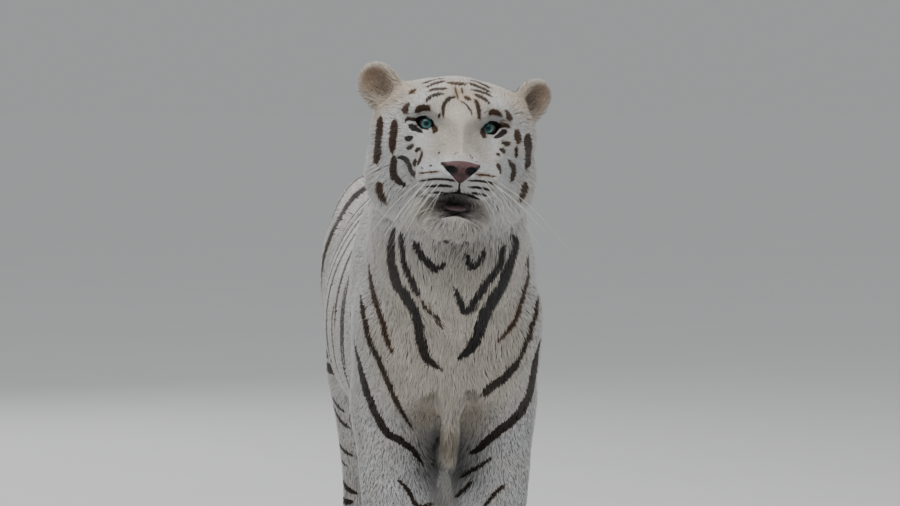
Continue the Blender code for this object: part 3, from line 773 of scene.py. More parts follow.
def make_skin():
    across = axis((-0.26, COARSE), (-0.17, FINE), (0.17, FINE), (0.26, COARSE))
    length = axis((-0.72, FINE), (-0.34, FINE), (-0.24, COARSE), (1.8, COARSE))
    height = axis((-0.03, FINE), (0.1, FINE), (0.14, COARSE), (0.8, COARSE), (0.85, FINE), (1.24, FINE))
    skin = Field([across, length, height])
    shape_skin(skin)
    mesh = surface(skin, "skin")
    refine(mesh, on_face)
    fit(mesh, on_head, shape_skin)
    soften(mesh, on_bridge, 14)
    points = places_of(mesh)
    points[:, 2] = np.maximum(points[:, 2], 0.0)  # the soles are flat
    move(mesh, points)
    mesh.shade_smooth()
    return mesh


# ---------------------------------------------------------------- nose

def nose_outline(x, z):
    """Signed distance to the bare leather as seen from the front: a blunt triangle."""
    level = [-0.1, -0.096, -0.088, -0.078, -0.068, -0.063, -0.06]
    wide = [0.001, 0.007, 0.015, 0.027, 0.0345, 0.033, 0.01]
    sides = (np.abs(x) - np.interp(z, level, wide)) * 0.75
    return np.maximum(sides, np.abs(z + 0.08 + 4.5 * x * x) - 0.02)


def nose_distance(x, y, z):
    return np.maximum(nose_outline(x, z), np.abs(y + 0.12) - 0.03)


def make_nose():
    """The leather: a closed pad that follows the muzzle and stands just proud of it."""
    middle = out_of(HEAD, (0, -0.122, -0.08))
    span = (0.044, 0.034, 0.03)
    axes = [axis((c - s, 0.0009), (c + s, 0.0009)) for c, s in zip(middle, span)]
    pad = Field(axes)
    shape_skull(pad)
    shape_muzzle(pad)
    head_eggs(pad, ((0.021, -0.124, -0.077), (0.014, 0.016, 0.013), 0.008))
    pad.values -= 0.001
    whole = Form((-0.04, -0.15, -0.11), (0.04, -0.09, -0.05), nose_distance, HEAD)
    place, where = pad.near(*whole.box)
    pad.values[place] = -lesser(-pad.values[place], -whole.at(*where), 0.006)
    carve_nostrils(pad)
    pad.carve(tube([  # the cleft
        (0, -0.149, -0.079, 0.0014, 0.003),
        (0, -0.148, -0.09, 0.0014, 0.003),
        (0, -0.14, -0.102, 0.0014, 0.003),
    ], 4, HEAD), 0.004)
    for i in range(3):  # outside all round, so that the pad is closed
        for end in (0, -1):
            edge = [slice(None)] * 3
            edge[i] = end
            pad.values[tuple(edge)] = REACH
    mesh = surface(pad, "nose_leather")
    mesh.shade_smooth()
    # how far each point lies from the nostrils, where painted shade makes the leather near black
    pits = Cloud(places_of(mesh))
    for form in nostril_forms():
        pits.add(form, TINY)
    store(mesh, {"pit": pits.values})
    return mesh


# ---------------------------------------------------------------- markings

# Strokes of the front, drawn on an upright plane through the eyes as the camera sees it and
# cast onto the tiger: full width and tone (0 black, 1 brown), then x and z in millimetres
# from between the eyes.
FRONT_STROKES = [
    # chest
    (19, 0.1, (-114, -175), (-119, -222), (-107, -273), (-79, -320), (-68, -361), (-56, -397), (-28, -420)),
    (13, 0.1, (-103, -182), (-96, -236), (-82, -268), (-69, -298)),
    (7, 0.5, (-66, -296), (-54, -318), (-38, -332), (-27, -352)),
    (14, 0.0, (-82, -196), (-70, -220), (-52, -240), (-38, -248), (-20, -236)),
    (12.5, 0.0, (14, -222), (23, -243), (35, -241), (51, -212)),
    (15, 0.0, (84, -201), (75, -240), (56, -268), (30, -305), (12, -318), (-6, -278)),
    (22, 0.0, (98, -186), (101, -212), (82, -268), (65, -301), (49, -332), (37, -360), (24, -382), (1, -402)),
    (7.5, 0.8, (124, -196), (126, -236), (122, -276), (105, -329), (84, -357), (70, -370)),
    (9, 0.4, (144, -276), (136, -327), (122, -368), (104, -412)),
    (16, 0.2, (113, -390), (100, -412), (80, -433), (58, -449), (43, -468)),
    (17, 0.2, (147, -357), (138, -397), (130, -448), (119, -474), (103, -497), (80, -514), (56, -532),
     (28, -553), (2, -556)),
    # shoulder on the right side
    (9, 0.7, (-158, -224), (-156, -259), (-147, -299), (-135, -333), (-124, -369), (-116, -390)),
    (11.5, 0.4, (-171, -282), (-165, -327), (-154, -369), (-138, -401), (-123, -436), (-105, -474),
     (-76, -517)),
    (14, 0.2, (-186, -348), (-170, -417), (-158, -459), (-142, -495), (-123, -523), (-102, -534),
     (-79, -550), (-53, -578)),
    # inside the forelegs
    (7.5, 0.3, (-107, -602), (-91, -616), (-80, -632), (-72, -646), (-54, -650), (-16, -635)),
    (7.5, 0.3, (60, -564), (38, -579), (-2, -600)),
    (7.5, 0.3, (26, -604), (-10, -634), (-65, -651)),
    (7.5, 0.3, (86, -611), (65, -628), (37, -662)),
    # the right side of the face
    (13, 0.6, (-133, 18), (-134, 3), (-134, -19), (-135, -41), (-137, -56), (-137, -69)),
    (13, 0.6, (-110, 12), (-110, -3), (-112, -19), (-113, -34), (-113, -49)),
    (13, 0.4, (-112, -50), (-110, -60), (-111, -73), (-110, -84), (-105, -91), (-94, -103)),
    (7, 0.3, (-64, 12), (-76, 11), (-87, 13), (-92, 6)),
    (11, 0.0, (-86, 2), (-80, -2), (-70, -8), (-61, -14)),
    (11, 0.1, (-93, -22), (-85, -23), (-77, -24)),
    (8.5, 0.4, (-89, -39), (-83, -39), (-75, -36)),
    (8.5, 0.3, (-75, -44), (-71, -43), (-66, -39)),
    (8.5, 0.1, (-108, -57), (-99, -55), (-92, -58), (-86, -64), (-82, -75), (-78, -84), (-74, -88)),
    (7, 0.5, (-73, -58), (-75, -67), (-76, -73)),
    (5, 0.5, (-62, -45), (-64, -56), (-68, -67), (-70, -73)),
    (5, 0.2, (-64, -78), (-62, -77)),
    (8.5, 0.5, (-81, -84), (-72, -84)),
    (13, 0.8, (-133, -95), (-131, -106), (-129, -117), (-118, -130)),
    (8.5, 0.1, (-99, -96), (-89, -103)),
    (12, 0.8, (-97, 28), (-89, 32), (-82, 36)),
    (12, 0.6, (-75, 25), (-70, 28), (-63, 31), (-54, 31), (-48, 26)),
    (7, 0.2, (-56, 39), (-51, 46), (-43, 51), (-35, 53), (-23, 54)),
    (5.5, 0.4, (-54, 59), (-42, 62), (-31, 63), (-16, 63)),
    (4.5, 0.5, (-57, 66), (-45, 71), (-33, 75), (-20, 77)),
    (4.5, 0.4, (-63, 72), (-49, 77), (-36, 80), (-22, 81)),
    (6.5, 0.9, (-85, 55), (-72, 64)),
    (7, 0.3, (-24, 12), (-26, 26), (-24, 36), (-19, 43), (-12, 48), (-1, 49)),
    (4.5, 0.3, (-34, 12), (-31, 22)),
    (9, 0.7, (-46, 3), (-41, -4), (-39, -9), (-44, -15)),
    (5, 0.2, (-34, -50), (-32, -50)),
    (3.5, 0.2, (-50, -73), (-45, -73)),
    # the middle and the left side of the face
    (5.5, 0.9, (-20, 75), (-8, 73), (4, 72), (16, 72)),
    (3.5, 0.9, (-6, 68), (-3, 56), (0, 44)),
    (3.5, 0.9, (6, 66), (8, 54)),
    (7, 0.7, (10, 51), (16, 47), (22, 42)),
    (3.5, 0.3, (3, 43), (10, 38), (17, 32), (22, 24), (24, 15)),
    (5.5, 0.5, (17, 74), (30, 69), (43, 64), (57, 57)),
    (5.5, 0.5, (22, 62), (35, 59), (48, 55), (60, 49)),
    (6.5, 0.6, (26, 54), (37, 50), (47, 44), (55, 36)),
    (4.5, 0.5, (17, 79), (31, 76), (44, 71), (57, 65)),
    (7, 0.6, (27, 46), (32, 40), (35, 29), (36, 18), (38, 10)),
    (8.5, 0.7, (54, 17), (58, 24), (67, 24), (77, 17)),
    (9.5, 0.9, (80, 25), (87, 20), (94, 13)),
    (8.5, 0.7, (67, 2), (78, 1), (84, 1), (91, -3)),
    (9.5, 0.1, (61, -22), (71, -18), (80, -11), (86, -8)),
    (9, 0.5, (75, -33), (82, -32), (91, -30)),
    (9, 0.4, (72, -44), (82, -45)),
    (6, 0.6, (67, -49), (73, -53)),
    (12, 0.8, (104, -6), (103, -19), (102, -32)),
    (6, 0.4, (101, -34), (100, -45), (99, -56)),
    (15, 0.5, (121, -12), (119, -30), (117, -51), (116, -73)),
    (9.5, 0.5, (85, -59), (91, -68), (95, -73), (94, -86), (89, -97)),
    (8.5, 0.8, (68, -67), (70, -75), (74, -84)),
    (11, 0.8, (114, -96), (110, -110), (103, -128)),
    (11, 0.9, (44, -7), (43, -14), (43, -22)),
    # whisker rows
    (3.5, 0.6, (-68, -87), (-50, -85), (-33, -84)),
    (4.5, 0.2, (-69, -100), (-42, -97), (-16, -98), (-4, -101)),
    (5, 0.1, (-70, -112), (-50, -109), (-25, -108), (-8, -110)),
    (4.5, 0.1, (-68, -123), (-49, -120), (-22, -119)),
    (3.5, 0.8, (30, -89), (49, -90), (67, -92)),
    (4.5, 0.2, (15, -99), (38, -100), (56, -103), (73, -107)),
    (5, 0.1, (17, -110), (40, -112), (68, -118)),
    (4.5, 0.1, (21, -120), (42, -123), (62, -129)),
]


def view_axes():
    """Right, toward the camera, and up, for the photographer's view."""
    across, rise = math.radians(VIEW_AZIMUTH), math.radians(VIEW_ELEVATION)
    back = np.array((math.sin(across) * math.cos(rise), -math.cos(across) * math.cos(rise), math.sin(rise)))
    right = np.array((math.cos(across), math.sin(across), 0.0))
    return right, back, np.cross(back, right)


JUMP = 0.035  # a stroke ends where its next point is farther off than this
CHIN = -0.14  # below the eyes; above it strokes are cast on the skin itself
FACE_BACK = -0.36  # the face lies before this
STEP = 0.006  # between the points of a stroke of the front
LEAST_SHOWN = 0.4  # a stroke is widened at most by one over this


def runs_of(places):
    """Rows of places in the skin's order, split where one lies far from the last."""
    places = np.array(places, float)
    if len(places) < 2:
        return []
    steps = np.linalg.norm(np.diff(places[:, :3], axis=0), axis=1)
    return [run for run in np.split(places, np.nonzero(steps > JUMP)[0] + 1) if len(run) > 1]


def front_strokes(row, solids, skin):
    """The strokes that one row makes on the skin."""
    width, tone, *points = row
    right, back, up = view_axes()
    camera = EYES + back * VIEW_DISTANCE
    points = np.array(points, float) / 1000
    length = np.linalg.norm(np.diff(points, axis=0), axis=1).sum()
    places = []
    for x, z in along(points, max(4, int(length / STEP))):
        aim = EYES + right * x + up * z - camera
        hit = skin.ray_cast(Vector(camera), Vector(aim))[0] if z > CHIN else None
        if hit is None or hit.y > FACE_BACK:
            hit = solids.ray_cast(Vector(camera), Vector(aim))[0]
        if hit is not None:
            place, normal = skin.find_nearest(hit)[:2]
            places.append((*place, *normal))
    runs = runs_of(places)
    longest = max([len(run) for run in runs], default=0)
    half = width / 2 / 1000
    return [stroke(run[:, :3], half / narrowed(run[:, :3], run[:, 3:]), tone)
            for run in runs if len(run) > longest / 4]


def narrowed(path, ups):
    """How much narrower a stroke looks to the camera than it is on the skin."""
    right, _, up = view_axes()
    ahead = unit(np.gradient(path, axis=0))
    side = unit(np.cross(ups, ahead))
    seen = unit(np.stack([ahead @ right, ahead @ up], 1))
    shown = np.abs((side @ right) * seen[:, 1] - (side @ up) * seen[:, 0])
    shown = np.convolve(np.pad(shown, 1, "edge"), (0.25, 0.5, 0.25), "valid")
    return np.clip(shown, LEAST_SHOWN, 1)


def stroke(points, half, tone):
    """Points with half widths that taper to both ends, bluntly."""
    t = np.linspace(-1, 1, len(points))
    taper = np.maximum(1 - np.abs(t) ** 3.5, 0.02) ** 0.6
    return points.astype(np.float32), half * taper, tone


def wrap(skin, spokes, half, tone, reach=0.35):
    """Strokes where rays from inside the body leave it; spokes are (start, direction)."""
    hits = [skin.ray_cast(Vector(start), Vector(aim), reach)[0] for start, aim in spokes]
    runs = runs_of([hit[:] for hit in hits if hit is not None])
    return [stroke(run, half, tone) for run in runs if len(run) > 3]


STRIPED = (0.06, 1.06)  # from and to, along the trunk
RIBS_END = 0.5  # before this, stripes stand single and wider apart
BELLY_END = 0.62  # before this, short stripes rise from the belly
THIGH = 0.68  # behind this, stripes end above the bars of the leg
CORE = 0.7  # height of the line that the rays start from


def trunk_strokes(skin, rng):
    """Stripes from the back down the flanks, many of them with a twin close behind."""
    made = []

    def band(side, y, first, last, half, tone, lean=0.0):
        """From first to last in degrees, measured from straight up."""
        t = np.linspace(0, 1, max(6, int(abs(last - first) / 3.5)))
        turn = np.radians(first + (last - first) * t)
        wave = 0.005 * np.sin(2 * np.pi * (t * rng.uniform(1.0, 1.8) + rng.random()))
        spokes = [((0, place, CORE), (side * math.sin(a), 0, math.cos(a)))
                  for place, a in zip(y + lean * t + wave, turn)]
        made.extend(wrap(skin, spokes, half, tone))

    for side in (-1, 1):
        y = STRIPED[0]
        while y < STRIPED[1]:
            ribs = y < RIBS_END
            half = rng.uniform(0.0125, 0.0175)
            tone = rng.uniform(0.2, 0.7)
            lean = rng.uniform(0.02, 0.07)
            top, end = rng.uniform(2, 8), rng.uniform(92, 106 if y > THIGH else 128)
            band(side, y, top, end, half, tone, lean)
            if rng.random() < 0.45 and not ribs:
                y += rng.uniform(0.033, 0.042)
                start, stop = top + rng.uniform(0, 25), end - rng.uniform(5, 30)
                band(side, y, start, stop, half * 0.65, tone, lean)
            if rng.random() < 0.7 and y < BELLY_END:
                start, stop = rng.uniform(75, 100), rng.uniform(128, 150)
                band(side, y + 0.05, start, stop, half * 0.6, tone, 0.02)
            if rng.random() < 0.4 and not ribs:
                start, stop = rng.uniform(10, 25), rng.uniform(45, 65)
                band(side, y + 0.04, start, stop, half * 0.5, tone, 0.01)
            y += rng.uniform(0.084, 0.108) * (1.15 if ribs else 1)
    return made


def ring_strokes(skin, rng, stations, count, half, arc, reach, tone=0.2):
    """Bars across a limb whose axis runs through stations (x, y, z); arc is (middle, half) in degrees."""
    made = []
    rows = along(stations, 40)
    for k in range(count):
        t = (k + 0.5 + rng.uniform(-0.2, 0.2)) / count * 40
        i = min(int(t), 39)
        run = rows[i + 1] - rows[i]
        run /= np.linalg.norm(run)
        centre = rows[i] + (rows[i + 1] - rows[i]) * (t - i)
        first = np.cross(run, (0, 1, 0)) if abs(run[1]) < 0.9 else np.cross(run, (1, 0, 0))
        first /= np.linalg.norm(first)
        second = np.cross(run, first)
        middle = arc[0] + rng.uniform(-20, 20)
        wide = arc[1] * rng.uniform(0.7, 1.0)
        slope, bow = rng.uniform(-0.016, 0.016), rng.uniform(-0.012, 0.012)
        spokes = []
        for u in np.linspace(-1, 1, 25):
            a = math.radians(middle + wide * u)
            start = centre + run * (slope * u + bow * u * u)
            spokes.append((start, first * math.cos(a) + second * math.sin(a)))
        made += wrap(skin, spokes, half * rng.uniform(0.7, 1.15), tone, reach)
    return made


def limb_strokes(skin, rng):
    made = []
    for side in (-1, 1):
        x = side * FORELEG_APART
        outer = 0 if side > 0 else 180
        made += ring_strokes(skin, rng, [(x, -0.01, 0.37), (x, -0.01, 0.27), (x, -0.02, 0.16)], 3,
                             0.005, (outer + 180, 70), 0.1, 0.3)
        x = side * HINDLEG_APART
        y = HINDLEG_Y + hind_back(side)
        made += ring_strokes(skin, rng, [(x, y - 0.12, 0.58), (x, y - 0.12, 0.5), (x, y - 0.06, 0.42)],
                             4, 0.01, (outer, 80), 0.13, 0.4)
        made += ring_strokes(skin, rng, [(x, y - 0.03, 0.38), (x, y + 0.06, 0.26), (x, y + 0.05, 0.14)],
                             5, 0.0075, (outer, 90), 0.1, 0.3)
    return made


TAIL = [(0, 1.16, 0.8), (0.004, 1.255, 0.68), (0.012, 1.31, 0.54), (0.026, 1.36, 0.4),
        (0.046, 1.44, 0.29), (0.07, 1.55, 0.245), (0.094, 1.655, 0.27), (0.112, 1.725, 0.34)]


def tail_strokes(skin, rng):
    return (ring_strokes(skin, rng, TAIL[:4], 7, 0.011, (-90, 170), 0.07, 0.3)
            + ring_strokes(skin, rng, TAIL[3:], 8, 0.013, (-90, 170), 0.07, 0.1))


def neck_strokes(skin, rng):
    """Arcs over the nape and down the sides of the neck."""
    made = []
    for k in range(4):
        for side in (-1, 1):
            low, high = rng.uniform(4, 14), rng.uniform(55, 95)
            start = np.array((EYES[0] * 0.6, -0.255 + 0.075 * k, 0.9 - 0.012 * k))
            spokes = []
            for t in np.linspace(0, 1, 16):
                a = math.radians(low + (high - low) * t)
                spokes.append((start + (0, 0.05 * t, 0), (side * math.sin(a), 0, math.cos(a))))
            made += wrap(skin, spokes, rng.uniform(0.006, 0.01), 0.4)
    return made


COAT_RISE = 0.016  # the most that hair stands over the skin
NEAR = 0.03  # how far round a stroke its pieces are looked for


def pieces_of(strokes):
    """The strokes' straight pieces: both ends, a half width at each, the tone, and whether
    the stroke begins or ends there. The first lies far off and has no width."""
    rows = [(0, 0, -5, 0, 0, -6, -1, -1, 0, 0, 0)]
    spans = []
    for path, half, tone in strokes:
        first = len(rows)
        last = len(path) - 2
        for i in range(last + 1):
            rows.append((*path[i], *path[i + 1], half[i], half[i + 1], tone, i == 0, i == last))
        if last >= 0:
            spans.append((path.min(0) - NEAR, path.max(0) + NEAR, range(first, len(rows))))
    return np.array(rows, np.float32), spans


def nearest_piece(points, ups, rows, spans):
    """The number of the piece nearest to each point, of the stroke whose edge is nearest.

    A point's height over the skin, along its up vector, doesn't count.
    """
    best = np.full(len(points), 1.0, np.float32)
    number = np.zeros(len(points), int)
    for low, high, pieces in spans:
        chosen = np.nonzero(((points > low) & (points < high)).all(1))[0]
        if len(chosen) == 0:
            continue
        p, up = points[chosen], ups[chosen]
        middle, edge, which = np.ones((3, len(chosen)), np.float32)
        for k in pieces:
            a, run, wide = rows[k, :3], rows[k, 3:6] - rows[k, :3], rows[k, 6:8]
            t = np.clip((p - a) @ run / (run @ run + 1e-12), 0, 1)
            gap = p - a - t[:, None] * run
            rise = np.clip((gap * up).sum(1), -COAT_RISE, COAT_RISE)
            away = np.linalg.norm(gap - up * rise[:, None], axis=1)
            nearer = away < middle
            middle[nearer] = away[nearer]
            edge[nearer] = (away - wide[0] - t * (wide[1] - wide[0]))[nearer]
            which[nearer] = k
        closer = edge < best[chosen]
        best[chosen[closer]] = edge[closer]
        number[chosen[closer]] = which[closer]
    return number


def across(points, ups, rows):
    """How far each point lies to the side of its piece, signed, and the half width there."""
    run = rows[:, 3:6] - rows[:, :3]
    length = np.linalg.norm(run, axis=1) + 1e-9
    run = run / length[:, None]
    offset = points - rows[:, :3]
    side = (offset * unit(np.cross(ups, run))).sum(1)
    t = (offset * run).sum(1)
    half = rows[:, 6] + np.clip(t / length, 0, 1) * (rows[:, 7] - rows[:, 6])
    past = rows[:, 9] * np.maximum(-t, 0) + rows[:, 10] * np.maximum(t - length, 0)
    return side, half - past


# ---------------------------------------------------------------- what colours the skin and coat

WARM = [  # place, reach, and how creamy the white is there
    (BODY, (0, -0.22, 0.62), 0.13, 0.6),
    (BODY, (0, -0.12, 0.5), 0.07, 0.85),
    (BODY, (0.16, 0, 0.7), 0.14, 0.1),
    (BODY, (0.19, 0.45, 0.65), 0.25, 0.22),
    (BODY, (0, 0.4, 0.92), 0.2, 0.4),
    (BODY, (0, 1, 0.8), 0.2, 0.35),
    (BODY, (0.1, -0.02, 0.35), 0.15, 0.05),
    (BODY, (0.1, 1, 0.4), 0.2, 0.2),
    (BODY, (0.03, 1.4, 0.4), 0.25, 0.25),
    (HEAD, (0, -0.06, -0.02), 0.035, 0.55),
    (HEAD, (0, 0, 0.035), 0.025, 0.6),
    (HEAD, (0.08, 0.03, -0.04), 0.05, 0.05),
    (HEAD, (0.04, -0.11, -0.095), 0.025, 0),
    (HEAD, (0.11, 0.07, 0.045), 0.03, 0.75),
    (HEAD, (0, 0.09, 0.085), 0.05, 0.35),
    (HEAD, (0.05, -0.03, -0.19), 0.035, 0.45),
    (HEAD, (0.13, 0.08, -0.08), 0.04, 0.15),
]


def places_in(table, points):
    """For each row, and for its twin on the other side, how far points lie, and its amount."""
    for axes, place, reach, amount in table:
        for side in (-1, 1) if place[0] else (1,):
            centre = out_of(axes, np.array(place) * (side, 1, 1)).astype(np.float32)
            yield ((points - centre) ** 2).sum(1) / reach ** 2, amount


def warmth(points):
    total = np.zeros(len(points), np.float32)
    weights = np.full(len(points), 1e-9, np.float32)
    for away, amount in places_in(WARM, points):
        weight = 1 / (0.05 + away) ** 3
        total += weight * amount
        weights += weight
    return total / weights


def ear_inside(points):
    """1 in the hollow of an ear, fading outside it."""
    gap = Cloud(points)
    for side in (-1, 1):
        gap.add(ear_hollow(side), TINY)
    return np.clip(1 - (gap.values - 0.001) / 0.006, 0, 1)


TANNED = [  # places on the head that are tan, with their reach and strength
    ((0.11, 0.08, 0.05), 0.034, 0.5),
    ((0.15, 0.09, 0.01), 0.03, 0.35),
    ((0, -0.004, 0.045), 0.024, 0.4),
    ((0, 0.06, 0.085), 0.03, 0.25),
    ((0, -0.05, -0.01), 0.03, 0.2),
    ((0, -0.09, -0.04), 0.03, 0.24),
    ((0.062, -0.05, -0.15), 0.022, 0.45),
]
PAINTED_SHADE_SPOTS = [  # painted shade in hollows and creases: place, reach and strength; a negative strength lightens instead
    (BODY, (0.042, -0.13, 0.49), 0.044, 9),
    (BODY, (0.03, -0.06, 0.42), 0.045, 6),
    (BODY, (0, -0.43, 0.86), 0.07, 3.6),
    (HEAD, (0.064, -0.035, -0.172), 0.028, 2.6),
    (HEAD, (0.032, -0.02, -0.012), 0.016, 1),
    (HEAD, (0.04, -0.075, -0.05), 0.018, 1.2),
    (HEAD, (0.08, 0, -0.075), 0.022, 0.8),
    (HEAD, (0.058, -0.006, -0.024), 0.013, -1),
]


def spots(points, table):
    """The sum of soft round spots, on both sides of the middle."""
    total = np.zeros(len(points), np.float32)
    for away, amount in places_in(table, points):
        total += amount * np.exp(-away)
    return total


def tanned(points):
    return np.maximum(ear_inside(points), spots(points, [(HEAD, *row) for row in TANNED]))


def painted_shade(points):
    """Painted shade, as a negative shade: darker in the hollows and creases, and deep in the ears."""
    deep = [(ear_axes(side), (0, -0.004, 0.03), 0.021, 6.5) for side in (-1, 1)]
    return -spots(points, PAINTED_SHADE_SPOTS + deep)


def bare_gap(points):
    """Signed distance to bare dark skin: the lips and the rims of the lids, and the inside of the mouth,
    whose black is painted shade.
    """
    mouth = Cloud(points)
    for form in mouth_forms():
        mouth.add(form, TINY)
    x, y, z = into(HEAD, points).T
    gap = mouth.values - np.where(z > -0.145, 0.01, 0.007)
    gap = np.where(y < -0.105, np.minimum(gap, nose_outline(x, z) + 0.001), gap)
    slit = np.maximum(np.abs(x) - 0.0016 - np.maximum(-0.108 - z, 0) * 0.45, np.abs(z + 0.11) - 0.014)
    gap = np.where(y < -0.1, np.minimum(gap, slit), gap)
    for side in (-1, 1):
        x, y, z = into(eye_axes(side), points).T
        rim = lids_gap(x, z)
        liner = np.where(z > -0.002, 0.0034, 0.0022)
        near = (np.abs(y + 0.01) < 0.022) & (np.abs(x) < 0.035) & (np.abs(z) < 0.03)
        gap = np.where(near, np.minimum(gap, rim - liner), gap)
    return gap


def ear_back_gap(points):
    """Signed distance to the black of the ears' backs, round a white spot."""
    gap = np.full(len(points), 1.0, np.float32)
    for side in (-1, 1):
        x, y, z = into(ear_axes(side), points).T
        near = (np.abs(x) < 0.06) & (np.abs(y) < 0.05) & (z > 0) & (z < 0.1)
        spot = 0.013 - np.sqrt(x * x + (z - 0.044) ** 2)
        back = np.maximum(np.maximum(0.009 - y, 0.014 - z), spot)
        gap = np.where(near, back, gap)
    return gap


def unit(vectors):
    return vectors / (np.linalg.norm(vectors, axis=1, keepdims=True) + 1e-9)


EAR_BLACK = 0.1  # wider than any ear, so that its distances stay positive


def markings(points, ups, marks, samples):
    """The stroke at each point, as read at each set of samples: side, half width and tone."""
    rows, spans = marks
    number = nearest_piece(points, ups, rows, spans)
    sides, halves = zip(*(across(sample, ups, rows[number]) for sample in samples))
    black = ear_back_gap(points)
    on_ear = black < np.abs(sides[-1]) - halves[-1]
    sides = [np.where(on_ear, black + EAR_BLACK, side) for side in sides]
    halves = [np.where(on_ear, EAR_BLACK, half) for half in halves]
    return sides, halves, np.where(on_ear, 0.1, rows[number, 8])


def store(mesh, values):
    for name, value in values.items():
        layer = mesh.attributes.new(name, "FLOAT", "POINT")
        layer.data.foreach_set("value", value.astype(np.float32))


def grounds(points):
    """What colours the ground between the stripes."""
    return {"warm": warmth(points), "tan": tanned(points), "bare": bare_gap(points)}


UNDER_COAT = -2.4  # painted shade of the skin under a coat of full depth, so that it reads as shadow between the tufts
FULL_DEPTH = 0.008


def paint_skin(mesh, marks):
    """The skin's attributes; low is the mottled lower lip."""
    points, ups = places_of(mesh), normals_of(mesh)
    (side,), (half,), tone = markings(points, ups, marks, [points])
    # painted shade: darker in the hollows and creases, and darker where the coat is deep
    shade = painted_shade(points) + UNDER_COAT * np.clip(coat_at(points, DEPTH)[:, 0] / FULL_DEPTH, 0, 1)
    store(mesh, {"side": np.abs(side), "half": half, "tone": tone, "shade": shade, **grounds(points)})
    x, y, z = into(HEAD, points).T
    low = np.clip((-0.144 - 5.0 * x * x - z) / 0.004, 0, 1) * (y < -0.06)
    store(mesh, {"low": low})


# ---------------------------------------------------------------- tufts

COAT_TUFTS = 240_000  # in all
SPREAD = 0.003  # a tuft's patch in the baking map
PIECES = {  # the coat's pieces by the middle of each
    "coat_face_right": (HEAD, (-0.07, -0.04, -0.04)),
    "coat_face_left": (HEAD, (0.07, -0.04, -0.04)),
    "coat_head_right": (HEAD, (-0.12, 0.12, 0)),
    "coat_head_left": (HEAD, (0.12, 0.12, 0)),
    "coat_neck": (BODY, (0, -0.24, 0.96)),
    "coat_chest_right": (BODY, (-0.12, -0.24, 0.72)),
    "coat_chest_left": (BODY, (0.12, -0.24, 0.72)),
    "coat_withers": (BODY, (0, 0.12, 0.86)),
    "coat_trunk_right": (BODY, (-0.2, 0.42, 0.66)),
    "coat_trunk_left": (BODY, (0.2, 0.42, 0.66)),
    "coat_rump_right": (BODY, (-0.16, 0.92, 0.72)),
    "coat_rump_left": (BODY, (0.16, 0.92, 0.72)),
    "coat_foreleg_right": (BODY, (-0.12, -0.02, 0.32)),
    "coat_foreleg_left": (BODY, (0.12, -0.02, 0.32)),
    "coat_hindleg_right": (BODY, (-0.1, 1, 0.28)),
    "coat_hindleg_left": (BODY, (0.1, 1, 0.28)),
    "coat_tail": (BODY, (0.03, 1.42, 0.45)),
}


def sway(points, wave, seed):
    """A smooth pattern over the body, mostly from -1 to 1, with waves of about that length."""
    rng = np.random.default_rng(seed)
    total = np.zeros(len(points), np.float32)
    for _ in range(5):
        way = rng.normal(size=3)
        way *= 2 * math.pi / (wave * rng.uniform(0.6, 1.6) * np.linalg.norm(way))
        total += np.sin(points @ way.astype(np.float32) + rng.uniform(0, 6.28))
    return total / 3


def no_hair(points):
    """True on bare skin: lips, rims of the lids, the nose and the soles."""
    x, y, z = into(HEAD, points).T
    nose = (nose_outline(x, z) < 0.001) & (y < -0.09)
    return (bare_gap(points) < 0.0004) | nose | (points[:, 2] < 0.01)


def plant(mesh, rng):
    """Roots on the skin: places, normals and the coat's values there."""
    mesh.calc_loop_triangles()
    corners = rows_of(mesh.loop_triangles, "vertices", np.int32)
    points, normals = places_of(mesh), normals_of(mesh)
    a, b, c = (points[corners[:, i]] for i in range(3))
    area = np.linalg.norm(np.cross(b - a, c - a), axis=1) / 2
    coat = coat_at(points)
    spacing = coat[corners, 6].mean(1)
    wanted = np.cumsum(area / spacing ** 2)
    share = COAT_TUFTS / wanted[-1]
    picks = (np.arange(COAT_TUFTS) + rng.random(COAT_TUFTS)) / share
    face = np.minimum(np.searchsorted(wanted, picks), len(corners) - 1)
    u, v = rng.random((2, COAT_TUFTS, 1)).astype(np.float32)
    flip = (u + v) > 1
    u, v = np.where(flip, 1 - u, u), np.where(flip, 1 - v, v)
    weights = np.concatenate([1 - u - v, u, v], 1)[:, :, None]
    ends = corners[face]
    roots, ups, values = ((part[ends] * weights).sum(1) for part in (points, normals, coat))
    keep = ~no_hair(roots)
    return roots[keep], unit(ups[keep]), values[keep]


SWAYS = ((0.22, 0.09, 1), (0.16, 0.03, 2))  # turn in radians, wave's length, and seed
LOOSE = 0.13  # radians by which a tuft turns at random


def lay(roots, ups, coat, rng):
    """Each tuft's direction along the skin, side, length, height and width."""
    comb = coat[:, :3] - ups * (coat[:, :3] * ups).sum(1, keepdims=True)
    along_skin = unit(comb)
    side = np.cross(ups, along_skin)
    yaw = sum(turn * sway(roots, *wave) for turn, *wave in SWAYS) + rng.normal(0, LOOSE, len(roots))
    yaw = yaw[:, None].astype(np.float32)
    ahead = along_skin * np.cos(yaw) + side * np.sin(yaw)
    count = len(roots)
    length = coat[:, 4] * rng.uniform(0.75, 1.2, count)
    height = coat[:, 3] * rng.uniform(0.6, 0.95, count)
    width = coat[:, 5] * rng.uniform(0.75, 1.25, count)
    return ahead, np.cross(ups, ahead), length[:, None], height[:, None], width[:, None]


WIDEST = (0.4, 0.62)  # where a tuft is widest, in shares of its length and height
ROOT_DEPTH = 0.001  # its root's, in the skin
ROUNDNESS = 0.28  # how far its middle stands up, in widths
OFF_FLOOR = 0.0015  # no tuft reaches lower


def tuft_points(roots, ups, ahead, side, length, height, width):
    """Five points for each tuft: the root, a ring of three at its widest, and the tip."""
    middle = roots + ahead * length * WIDEST[0] + ups * height * WIDEST[1]
    points = np.stack([
        roots - ups * ROOT_DEPTH,
        middle + side * width * 0.5,
        middle + ups * width * ROUNDNESS,
        middle - side * width * 0.5,
        roots + ahead * length + ups * height,
    ], 1)
    points[:, :, 2] = np.maximum(points[:, :, 2], OFF_FLOOR)
    return points


